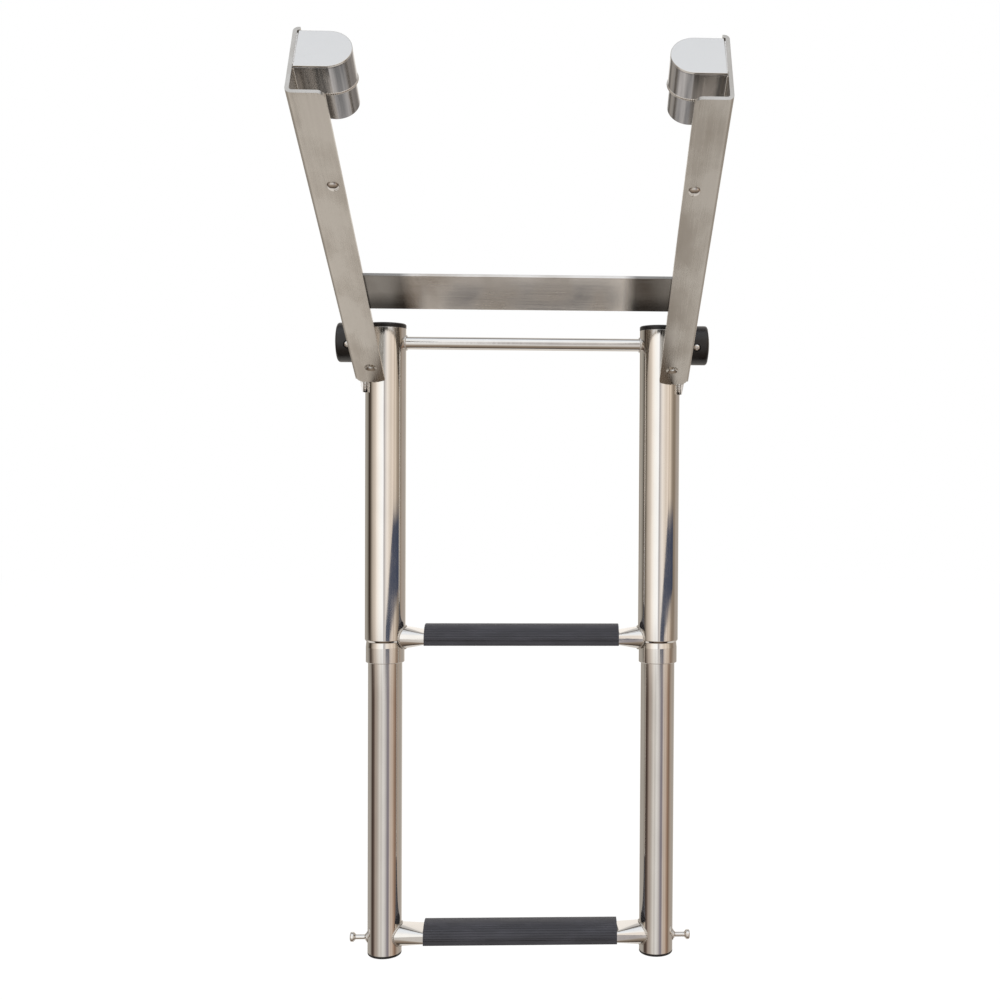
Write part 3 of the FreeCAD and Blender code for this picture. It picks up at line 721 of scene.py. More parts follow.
@dataclass(frozen=True)
class Assembly:
    """A part of the ladder that moves as one, and how its pieces are made."""

    nodes: dict[str, bpy.types.Object]
    finish: Finishes
    body: Body

    def add(
        self,
        name: str,
        mesh: bpy.types.Mesh,
        material: bpy.types.Material,
        slot: Slot,
        node: str | None = None,
        sharp: float = SHARP,
    ) -> bpy.types.Object:
        """Put a finished mesh into the scene as one piece.

        Args:
            name: The piece's name.
            mesh: Its mesh.
            material: Its finish.
            slot: Not used.
            node: The CAD node that it stands for.
            sharp: Edges that turn more than this many degrees stay sharp.

        Returns:
            The piece.
        """
        mesh.materials.clear()
        mesh.materials.append(material)
        mesh.polygons.foreach_set("use_smooth", [True] * len(mesh.polygons))
        mesh.polygons.foreach_set("material_index", [0] * len(mesh.polygons))
        mesh.set_sharp_from_angle(angle=math.radians(sharp))
        mesh.update()
        piece = bpy.data.objects.new(name, mesh)
        bpy.context.scene.collection.objects.link(piece)
        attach(piece, self.body.value)
        if node:
            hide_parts(node)
        log.info("%s: %d faces", name, len(mesh.polygons))
        return piece

    def shells(
        self,
        name: str,
        shells: Sequence[Shell],
        material: bpy.types.Material,
        node: str | None = None,
        slot: Slot = Slot.POLISHED,
        sharp: float = SHARP,
    ) -> None:
        """Make a piece of one or more shells.

        Args:
            name: The piece's name.
            shells: Its surfaces, in millimetres.
            material: Its finish.
            node: The CAD node that it stands for.
            slot: The material slot, handed on to add.
            sharp: Edges that turn more than this many degrees stay sharp.
        """
        points = [shell.points.reshape(-1, 3) for shell in shells]
        faces: list[list[int]] = []
        start = 0
        for shell, own in zip(shells, points):
            faces += [[start + number for number in face] for face in shell.faces()]
            start += len(own)
        mesh = bpy.data.meshes.new(name)
        mesh.from_pydata((np.vstack(points) * MM).tolist(), [], faces)
        work = bmesh.new()
        work.from_mesh(mesh)
        bmesh.ops.remove_doubles(work, verts=work.verts, dist=MERGE)
        bmesh.ops.recalc_face_normals(work, faces=work.faces)
        work.to_mesh(mesh)
        work.free()
        self.add(name, mesh, material, slot, node, sharp)

    def sheet_metal(
        self,
        node: str,
        material: bpy.types.Material,
        slot: Slot = Slot.POLISHED,
        edge: float = 0.45,
    ) -> None:
        """slot: The material slot, handed on to add.
            edge: The broken edge's width, in millimetres.
        """
        name = f"{node}_sheet"
        mesh = bpy.data.meshes.new(name)
        work = bmesh.new()
        work.from_mesh(self.nodes[node].data)
        bmesh.ops.remove_doubles(work, verts=work.verts, dist=MERGE)
        flat = math.radians(0.5)
        bmesh.ops.dissolve_limit(
            work, angle_limit=flat, verts=work.verts, edges=work.edges
        )
        work.to_mesh(mesh)
        work.free()
        if "custom_normal" in mesh.attributes:
            mesh.attributes.remove(mesh.attributes["custom_normal"])
        piece = self.add(name, mesh, material, slot, node)
        broken = piece.modifiers.new("broken_edges", "BEVEL")
        broken.width = edge * MM
        broken.segments = 2
        broken.limit_method = "ANGLE"
        broken.angle_limit = math.radians(SHARP)
        broken.harden_normals = True

    def turn_pair(
        self,
        part: str,
        look: str,
        corners: Sequence[Triple],
        material: bpy.types.Material,
        slot: Slot = Slot.POLISHED,
        closed: bool = False,
    ) -> None:
        """Turn a piece about the centre line of each ladder tube.

        Args:
            part: The name of the CAD nodes that they stand for, less the side.
            look: What the pieces' names add to the nodes'.
            corners: The profile's corners: radius, height and rounding.
            material: Their finish.
            slot: The material slot, handed on to add.
            closed: Whether the profile closes on itself.
        """
        profile = round_corners(corners, closed)
        for side in Side:
            node = f"{part}_{side.word}"
            shell = lathe(profile, side.rail, closed=closed)
            self.shells(f"{node}_{look}", [shell], material, node, slot)

    def dress(self, node: str, material: bpy.types.Material) -> None:
        """Give a CAD node its finish.

        Args:
            node: The node's name.
            material: The finish.
        """
        piece = self.nodes[node]
        piece.data.materials.clear()
        piece.data.materials.append(material)
        log.info("%s: dressed", node)


@dataclass(frozen=True)
class Brackets(Assembly):
    """The two arms with their cross bar, sockets, bolts and nuts."""

    web_inside: float = 151.5
    face: float = -43.0
    top: float = 354.0
    bolt_place: float = 261.0
    bolt_x: float = 135.2
    bolt_radius: float = 2.5
    bolt_length: float = 11.0
    head_radius: float = 4.75
    head_tall: float = 2.6
    socket_radius: float = 16.0
    socket_bore: float = 14.5
    socket_top: float = 352.2
    socket_length: float = 50.0
    strap_outside: float = 17.5
    strap_foot: float = 325.7
    strap_slope: float = 0.15
    lid_weld: Pair = (-16.0, 15.0)
    leg_weld: Pair = (-24.0, -2.0)
    rim_weld: Pair = (-1.9, 1.6)
    thin_bead: float = 0.7
    rim_bead: float = 1.2

    def build(self) -> None:
        """Build the whole bracket frame."""
        finish = self.finish
        for side in Side:
            self.sheet_metal(f"arm_{side.word}", finish.arms, Slot.BRUSHED)
            self.sheet_metal(f"socket_lid_{side.word}", finish.socket)
            self.sheet_metal(f"socket_strap_{side.word}", finish.strap)
            self.build_socket(side)
        self.sheet_metal("cross_bar", finish.bar, Slot.BRUSHED)
        self.sheet_metal("arm_nuts", finish.fastener, edge=0.3)
        self.build_bolts()
        self.build_welds()

    def build_socket(self, side: Side) -> None:
        """Build the tube under a socket's lid.

        Args:
            side: Which side it is on.
        """
        foot = self.socket_top - self.socket_length
        profile = round_corners(
            [
                (self.socket_radius, self.socket_top, 0.0),
                (self.socket_radius, foot, 0.6),
                (self.socket_bore, foot, 0.4),
                (self.socket_bore, self.socket_top, 0.0),
            ],
            closed=True,
        )
        tube = lathe(profile, side.rail, closed=True).turned(ARM_LEAN)
        node = f"socket_tube_{side.word}"
        self.shells(f"{node}_wall", [tube], self.finish.strap, node)

    def build_bolts(self) -> None:
        """Build both round-head bolts.

        The head is a shallow dome: its height falls with the distance from
        the axis raised to 2.6, down to a rounded rim.
        """
        reach = np.linspace(0.0, 1.0, 12)
        fall = 0.72 * reach**2.6
        dome = trace(self.head_radius * reach, self.head_tall * (1 - fall))
        shank = [
            (self.head_radius, 0.0),
            (self.bolt_radius, 0.0),
            (self.bolt_radius, -self.bolt_length),
            (0.0, -self.bolt_length),
        ]
        profile = np.vstack([dome, shank])
        places = (
            (side.value * self.bolt_x, self.face, self.bolt_place) for side in Side
        )
        bolts = [
            lathe(profile, place, "-Y", circle(48)).turned(ARM_LEAN)
            for place in places
        ]
        self.shells("arm_bolts_round_head", bolts, self.finish.fastener, "arm_bolts")

    def build_welds(self) -> None:
        """Lay the beads that hold the lids and straps to the webs.

        Each lid has a straight bead along the web, and each strap has one
        down its front leg.  A third runs round the socket tube along the
        strap's lower edge, whose height falls with the depth.
        """
        low, high = self.leg_weld
        along = np.linspace(*self.lid_weld, 120)
        down = np.linspace(self.top + low, self.top + high, 90)
        turn = np.linspace(*self.rim_weld, 220)
        reach = self.socket_radius + 0.9
        depth = reach * np.sin(turn)
        rim = trace(
            RAIL - reach * np.cos(turn),
            depth,
            self.strap_foot - self.strap_slope * depth,
        )
        web, front = self.web_inside, -self.strap_outside
        runs = (
            (trace(web - 0.4, along, self.top - 0.4), self.thin_bead),
            (trace(web - 0.3, front - 0.2, down), self.thin_bead),
            (rim, self.rim_bead),
        )
        beads = [
            weld_bead(path * side.mirror, radius, closed=False).turned(ARM_LEAN)
            for side in Side
            for path, radius in runs
        ]
        self.shells("socket_welds", beads, self.finish.fastener, sharp=WELD_SHARP)


@dataclass(frozen=True)
class StepTube(Assembly):
    """A step: tube pressed flat for the tread, and coped to the ladder tubes."""

    name: str
    drop: float
    tube_radius: float
    flat: Triple = (32.0, 11.0, 3.0)
    end: Triple = (26.0, 20.0, 9.6)
    wall: float = 1.5
    flat_from: float = 90.7
    weld_gap: float = 0.35
    weld_radius: float = 0.8

    def section(self, share: np.ndarray, wall: float) -> np.ndarray:
        """Give the tube's cross-section between its end and its flat.

        A rounded rectangle: each of its points sits at a corner's centre plus
        the corner's radius in the direction of the point's angle, and width,
        height and radius all slide from the end's to the flat's.

        Args:
            share: How flat the tube is, from 0 to 1, one value per section.
            wall: How far inside the outer surface the section runs.

        Returns:
            Sections by points by two coordinates, depth and height.
        """
        deep, tall, corner = (
            (end + (flat - end) * share)[:, None]
            for end, flat in zip(self.end, self.flat)
        )
        quarter = np.linspace(0, np.pi / 2, 11)
        angle = np.concatenate([quarter + turn * np.pi / 2 for turn in range(4)])
        right, top = np.repeat([(1, 1), (-1, 1), (-1, -1), (1, -1)], 11, axis=0).T
        depth = right * (deep / 2 - corner) + (corner - wall) * np.cos(angle)
        height = top * (tall / 2 - corner) + (corner - wall) * np.sin(angle)
        return trace(depth, height)

    def tube(self) -> Shell:
        """Carry the section from one ladder tube to the other.

        The walls run straight from the coped end, whose distance from the
        middle is the rail's less the root of the tube's radius squared less
        the depth squared, to the flat, and the inner wall runs back again.

        Returns:
            The step's shell.
        """
        radius = self.tube_radius + 0.1
        slope = np.linspace(0.0, 1.0, 24)
        eased = slope**1.25 * (1 + 0.25 * (1 - slope))
        surfaces = []
        for wall in (0.0, self.wall):
            section = self.section(eased, wall)
            depth = np.clip(section[:1, :, 0], -15.0, 15.0)
            coped = RAIL - np.sqrt(radius**2 - depth**2)
            along = coped + (self.flat_from - coped) * slope[:, None]
            right = np.concatenate([along[..., None], section], -1)
            left = right * Side.LEFT.mirror
            surfaces.append(np.concatenate([right, left[::-1]]))
        points = np.concatenate([surfaces[0], surfaces[1][::-1]])
        return Shell(points - np.array([0.0, 0.0, self.drop]))

    def welds(self) -> list[Shell]:
        """Lay a bead round each end, along the coped edge.

        Returns:
            The two beads.
        """
        edge = self.section(np.zeros(1), -0.3)[0]
        depth, height = evenly(edge, self.weld_gap, closed=True).T
        out = RAIL - np.sqrt((self.tube_radius + 0.3) ** 2 - depth**2)
        path = trace(out, depth, height - self.drop)
        return [weld_bead(path * side.mirror, self.weld_radius) for side in Side]

    def build(self) -> None:
        """Build the step with its welds."""
        node = f"step_{self.name}"
        self.shells(f"{node}_pressed_tube", [self.tube()], self.finish.step, node)
        self.shells(
            f"{node}_welds", self.welds(), self.finish.weld, sharp=WELD_SHARP
        )


@dataclass(frozen=True)
class Tread(Assembly):
    """A ribbed grip, extruded, cut to length and snapped over a step."""

    name: str
    drop: float
    half: float = 91.2
    depth: float = 36.5
    crown: float = 12.8
    waist: float = -0.5
    foot: float = -6.0
    ledge: float = 0.9
    mouth: float = 9.0
    skin: float = 5.6
    hole: float = 16.1
    rib: float = 2.4
    groove: float = 0.34
    plain: float = 1.2

    def outside(self) -> np.ndarray:
        """Draw the tread's outer line, from one edge of its mouth to the other.

        The top is a flattened arch: its height above the waist is what is
        left of one after the depth raised to 2.45, raised to 1 / 1.75.  The
        side then steps in by the ledge and drops to a rounded lower edge.
        Grooves are cut square to the line: their depth is a half circle's,
        repeated at each rib, and the arch's two ends stay plain.

        Returns:
            The line's points, depth and height.
        """
        deep = self.depth / 2
        across = np.sin(np.linspace(-np.pi / 2, np.pi / 2, 400))
        rise = (self.crown - self.waist) * (1 - np.abs(across) ** 2.45) ** (1 / 1.75)
        arch = evenly(trace(deep * across, self.waist + rise), 0.12)
        place = travelled(arch)
        from_crown = place - place[-1] / 2
        phase = (from_crown + self.rib / 2) % self.rib - self.rib / 2
        inward = np.sqrt(np.clip(self.groove**2 - phase**2, 0.0, None))
        inward[np.abs(from_crown) > place[-1] / 2 - self.plain] = 0.0
        along = unit(np.gradient(arch, axis=0))
        ribbed = arch + trace(along[:, 1], -along[:, 0]) * inward[:, None]
        low = deep - self.ledge
        skirt = round_corners(
            [
                (low, self.waist - self.ledge, 0.0),
                (low, self.foot, 1.4),
                (self.mouth, self.foot, 0.5),
                (self.mouth, -self.skin, 0.0),
            ]
        )
        return np.vstack([skirt[::-1] * (-1.0, 1.0), ribbed, skirt])

    def inside(self) -> np.ndarray:
        """Draw the snap-over hole, from one edge of the mouth to the other.

        Returns:
            The line's points, depth and height.
        """
        return round_corners(
            [
                (self.mouth, -self.skin, 0.0),
                (self.hole, -self.skin, 3.0),
                (self.hole, self.skin, 3.0),
                (-self.hole, self.skin, 3.0),
                (-self.hole, -self.skin, 3.0),
                (-self.mouth, -self.skin, 0.0),
            ]
        )

    def build(self) -> None:
        """Build the tread."""
        depth, height = np.vstack([self.outside(), self.inside()[1:-1]]).T
        ends = np.array([[-self.half], [self.half]])
        shell = Shell(trace(ends, depth, height - self.drop), False, True, True)
        node = f"tread_{self.name}"
        finish = self.finish.tread
        self.shells(f"{node}_ribbed", [shell], finish, node, Slot.TREAD, 40.0)


@dataclass(frozen=True)
class UpperLadder(Assembly):
    """The outer tubes with their caps, plates, axle, rollers and step."""

    radius: float = 19.05
    bore: float = 17.55
    swage_radius: float = 18.1
    swage_bore: float = 16.6
    rise: float = 13.4
    drop: float = 300.5
    swage_top: float = -281.0
    swage_taper: float = 2.0
    cap_plug: float = 5.5
    cap_top: float = 17.9
    cap_rim: float = 17.75
    cap_floor: float = 14.7
    axle_radius: float = 6.0
    axle_end: float = 170.95
    roller_in: float = 154.85
    roller_out: float = 175.45
    roller_radius: float = 18.5
    face_rim: float = 16.0
    face_bulge: float = 1.8
    screw_x: float = 162.45
    screw_seat: float = 16.9
    screw_radius: float = 3.0
    screw_tall: float = 2.2
    shank_radius: float = 1.75
    well_radius: float = 3.35
    axle_bead: float = 0.8
    plate_bead: float = 1.6
    plate_weld: Pair = (-46.0, 9.0)
    plate_weld_x: float = 147.05
    plate_weld_y: float = 9.6
    step_drop: float = 277.4

    def build(self) -> None:
        """Build the whole upper ladder."""
        finish = self.finish.fastener
        self.build_tubes()
        self.build_caps()
        for side in Side:
            self.build_roller(side)
            self.sheet_metal(f"pivot_plate_{side.word}", finish, edge=0.4)
        self.build_axle()
        self.build_screws()
        self.build_welds()
        step = (self.nodes, self.finish, self.body, "upper", self.step_drop)
        StepTube(*step, self.radius).build()
        Tread(*step).build()

    def build_tubes(self) -> None:
        """Build the outer tubes, drawn in at their lower ends."""
        radius, cone = self.swage_radius, self.swage_top + self.swage_taper
        corners = [
            (self.radius, self.rise, 0.2),
            (self.radius, cone, 0.8),
            (radius - 0.5, self.swage_top, 0.8),
            (radius, self.swage_top - 5.0, 2.0),
            (radius, -self.drop, 0.6),
            (self.swage_bore, -self.drop, 0.4),
            (self.swage_bore, self.swage_top, 0.0),
            (self.bore, cone, 0.0),
            (self.bore, self.rise, 0.2),
        ]
        finish = self.finish.tube
        self.turn_pair("outer_tube", "polished", corners, finish, closed=True)

    def build_caps(self) -> None:
        """Build the top caps, with a soft edge and a nearly flat crown."""
        plug, foot = self.bore - 0.1, self.rise - self.cap_plug
        corners = [
            (0.0, self.cap_top, 0.0),
            (2.0, self.cap_top, 0.0),
            (self.radius, self.cap_rim, 1.7),
            (self.radius, self.rise, 0.2),
            (plug, self.rise, 0.0),
            (plug, foot, 0.6),
            (plug - 2.0, foot, 0.0),
            (plug - 2.0, self.cap_floor, 0.0),
            (0.0, self.cap_floor, 0.0),
        ]
        finish = self.finish.nylon
        self.turn_pair("top_cap", "moulded", corners, finish, Slot.PLASTIC)

    def build_roller(self, side: Side) -> None:
        """Build one roller, with a well for its screw.

        The roller is turned about the axle.  Its face bulges with the square
        of the distance from the rim.  Inside the well's radius of the screw's
        axis, the skin is pushed in to the seat.

        Args:
            side: Which side it is on.
        """
        inner, radius = self.roller_in, self.roller_radius
        edge = self.roller_out - self.face_bulge
        bore, bore_end = self.axle_radius + 0.1, self.axle_end + 0.1
        from_axis = np.linspace(1.0, 0.0, 14)[1:]
        face = trace(
            self.face_rim * from_axis, edge + self.face_bulge * (1 - from_axis**2)
        )
        skin = trace(radius, np.arange(inner + 1.2, edge - 2.5, 0.4))
        shoulder = round_corners(
            [
                (radius, edge - 2.6, 0.0),
                (radius, edge, 2.5),
                (self.face_rim, edge, 0.0),
            ],
            steps=10,
        )
        heel = [
            (0.0, bore_end),
            (bore, bore_end),
            (bore, inner),
            (radius - 0.8, inner),
            (radius, inner + 0.8),
        ]
        profile = np.vstack([heel, skin, shoulder, face])
        well = 0.3
        fine = np.linspace(-well, well, 41)
        coarse = np.linspace(well, 2 * np.pi - well, 110)[1:-1]
        angles = np.concatenate([fine, coarse]) + np.pi
        shell = lathe(profile, axis="X", angles=angles)
        x, y, z = np.moveaxis(shell.points, -1, 0)
        away = np.hypot(x - self.screw_x, z)
        outer = np.hypot(y, z) > radius - 0.2
        share = np.clip((self.well_radius + 0.25 - away) / 0.35, 0.0, 1.0)
        sunk = y + share * (-self.screw_seat - y)
        points = trace(x, np.where(outer & (y < 0), sunk, y), z) * side.mirror
        roller = replace(shell, points=points).turned(SCREW_TURN)
        name, finish = f"roller_{side.word}", self.finish.nylon
        self.shells(f"{name}_moulded", [roller], finish, name, Slot.PLASTIC, 40.0)

    def build_axle(self) -> None:
        """Build the axle, a plain bar with chamfered ends."""
        chamfer = 0.6
        full, small = self.axle_radius, self.axle_radius - chamfer
        half, shoulder = self.axle_end, self.axle_end - chamfer
        end = np.array([(full, shoulder), (small, half), (0.0, half)])
        profile = np.vstack([end[::-1] * (1.0, -1.0), end])
        bar = lathe(profile, axis="X")
        self.shells("axle_polished", [bar], self.finish.tube, "axle")

    def build_screws(self) -> None:
        """Build both roller screws, with a cross recess.

        The head's height falls with the square of the distance from the axis,
        less the recess: full depth where either distance from the cross's
        middle lines is small and the other is within its arms.
        """
        slot, arm, recess = 0.55, 1.75, 1.1
        reach = np.linspace(0.0, 1.0, 22)
        crown = self.screw_tall * (1 - 0.6 * reach**2)
        head = trace(self.screw_radius * reach, crown)
        shank = [
            (self.screw_radius, 0.0),
            (self.shank_radius, 0.0),
            (self.shank_radius, -10.0),
            (0.0, -10.0),
        ]
        profile = np.vstack([head, shank])
        screws = []
        for side in Side:
            place = (side.value * self.screw_x, -self.screw_seat, 0.0)
            shell = lathe(profile, place, "-Y", circle(64))
            x, y, z = np.moveaxis(shell.points, -1, 0)
            across, along = np.abs(x - place[0]), np.abs(z)
            narrow, wide = np.minimum(across, along), np.maximum(across, along)
            cross = np.clip((slot - narrow) / 0.15, 0, 1)
            cross = cross * np.clip((arm - wide) / 0.2, 0, 1)
            top = y < -self.screw_seat - 0.5
            points = trace(x, np.where(top, y + recess * cross, y), z)
            screws.append(replace(shell, points=points).turned(SCREW_TURN))
        finish = self.finish.fastener
        self.shells("roller_screws_cross_head", screws, finish, "roller_screws")

    def build_welds(self) -> None:
        """Lay the beads round the axle and down the pivot plates.

        Round the axle, the bead's distance from the tube's centre line is the
        root of the tube's radius squared less the depth squared.  Down each
        plate, a bead that tapers far in from both ends fills the wedge
        between the plate and the tube.
        """
        angle, ring = circle(150), self.axle_radius + 0.4
        depth, height = ring * np.cos(angle), ring * np.sin(angle)
        out = RAIL - np.sqrt((self.radius + 0.2) ** 2 - depth**2)
        down = np.linspace(*self.plate_weld, 190)
        beads = []
        for side in Side:
            saddle = trace(out, depth, height) * side.mirror
            beads.append(weld_bead(saddle, self.axle_bead, ripple=1.2))
            for front in (-self.plate_weld_y, self.plate_weld_y):
                line = trace(self.plate_weld_x, front, down) * side.mirror
                bead = weld_bead(line, self.plate_bead, closed=False, run_out=5.0)
                beads.append(bead)
        self.shells("axle_welds", beads, self.finish.fastener, sharp=WELD_SHARP)


@dataclass(frozen=True)
class SlidingSection(Assembly):
    """The inner tubes with their bushes, end caps, studs and step."""

    radius: float = 16.0
    bore: float = 14.5
    top: float = -278.5
    drop: float = 576.2
    cap_tall: float = 2.5
    cap_plug: float = 12.0
    stud_drop: float = 562.7
    stud_length: float = 16.4
    stud_foot: float = 4.2
    stud_neck: float = 2.3
    stud_head: float = 4.6
    stud_bead: float = 0.7
    step_drop: float = 559.9

    def build(self) -> None:
        """Build the whole sliding section."""
        self.build_tubes()
        self.build_caps()
        for side in Side:
            self.build_stud(side)
            self.dress(f"guide_bush_{side.word}", self.finish.nylon)
        self.build_welds()
        step = (self.nodes, self.finish, self.body, "lower", self.step_drop)
        StepTube(*step, self.radius).build()
        Tread(*step).build()

    def build_tubes(self) -> None:
        """Build the sliding tubes."""
        corners = [
            (self.radius, self.top, 0.3),
            (self.radius, -self.drop, 0.25),
            (self.bore, -self.drop, 0.25),
            (self.bore, self.top, 0.3),
        ]
        finish = self.finish.tube
        self.turn_pair("inner_tube", "polished", corners, finish, closed=True)

    def build_caps(self) -> None:
        """Build the lower caps, with a plug up inside each tube."""
        plug, plug_top = self.bore - 0.1, self.cap_plug - self.drop
        foot = -self.drop - self.cap_tall
        corners = [
            (0.0, foot, 0.0),
            (self.radius, foot, 1.5),
            (self.radius, -self.drop, 0.15),
            (plug, -self.drop, 0.0),
            (plug, plug_top, 0.5),
            (plug - 2.0, plug_top, 0.5),
            (plug - 2.0, -self.drop, 0.0),
            (0.0, -self.drop, 0.0),
        ]
        finish = self.finish.nylon
        self.turn_pair("end_cap", "moulded", corners, finish, Slot.PLASTIC)

    def build_stud(self, side: Side) -> None:
        """Build one turned stud: foot, neck and button head.

        Args:
            side: Which side it is on.
        """
        root = RAIL + self.radius
        tip = root + self.stud_length
        profile = round_corners(
            [
                (0.0, root - 1.4, 0.0),
                (self.stud_foot, root - 1.4, 0.0),
                (self.stud_foot, root + 0.8, 0.5),
                (self.stud_neck, root + 2.6, 0.8),
                (self.stud_neck, tip - 5.4, 0.9),
                (self.stud_head, tip - 3.2, 0.9),
                (self.stud_head, tip, 1.5),
                (0.0, tip, 0.0),
            ]
        )
        stud = lathe(profile, (0.0, 0.0, -self.stud_drop), "X", circle(64))
        stud = replace(stud, points=stud.points * side.mirror)
        node = f"stud_{side.word}"
        self.shells(f"{node}_turned", [stud], self.finish.fastener, node)

    def build_welds(self) -> None:
        """Lay a thin bead round each stud's foot.

        Its distance from the tube's centre line is the root of the tube's
        radius squared less the depth squared.
        """
        angle, ring = circle(96), self.stud_foot + 0.3
        depth, height = ring * np.cos(angle), ring * np.sin(angle)
        out = RAIL + np.sqrt((self.radius + 0.1) ** 2 - depth**2)
        path = trace(out, depth, height - self.stud_drop)
        beads = [
            weld_bead(path * side.mirror, self.stud_bead, ripple=1.2) for side in Side
        ]
        self.shells("stud_welds", beads, self.finish.weld, sharp=WELD_SHARP)


# ------------------------------------------------------------------ studio


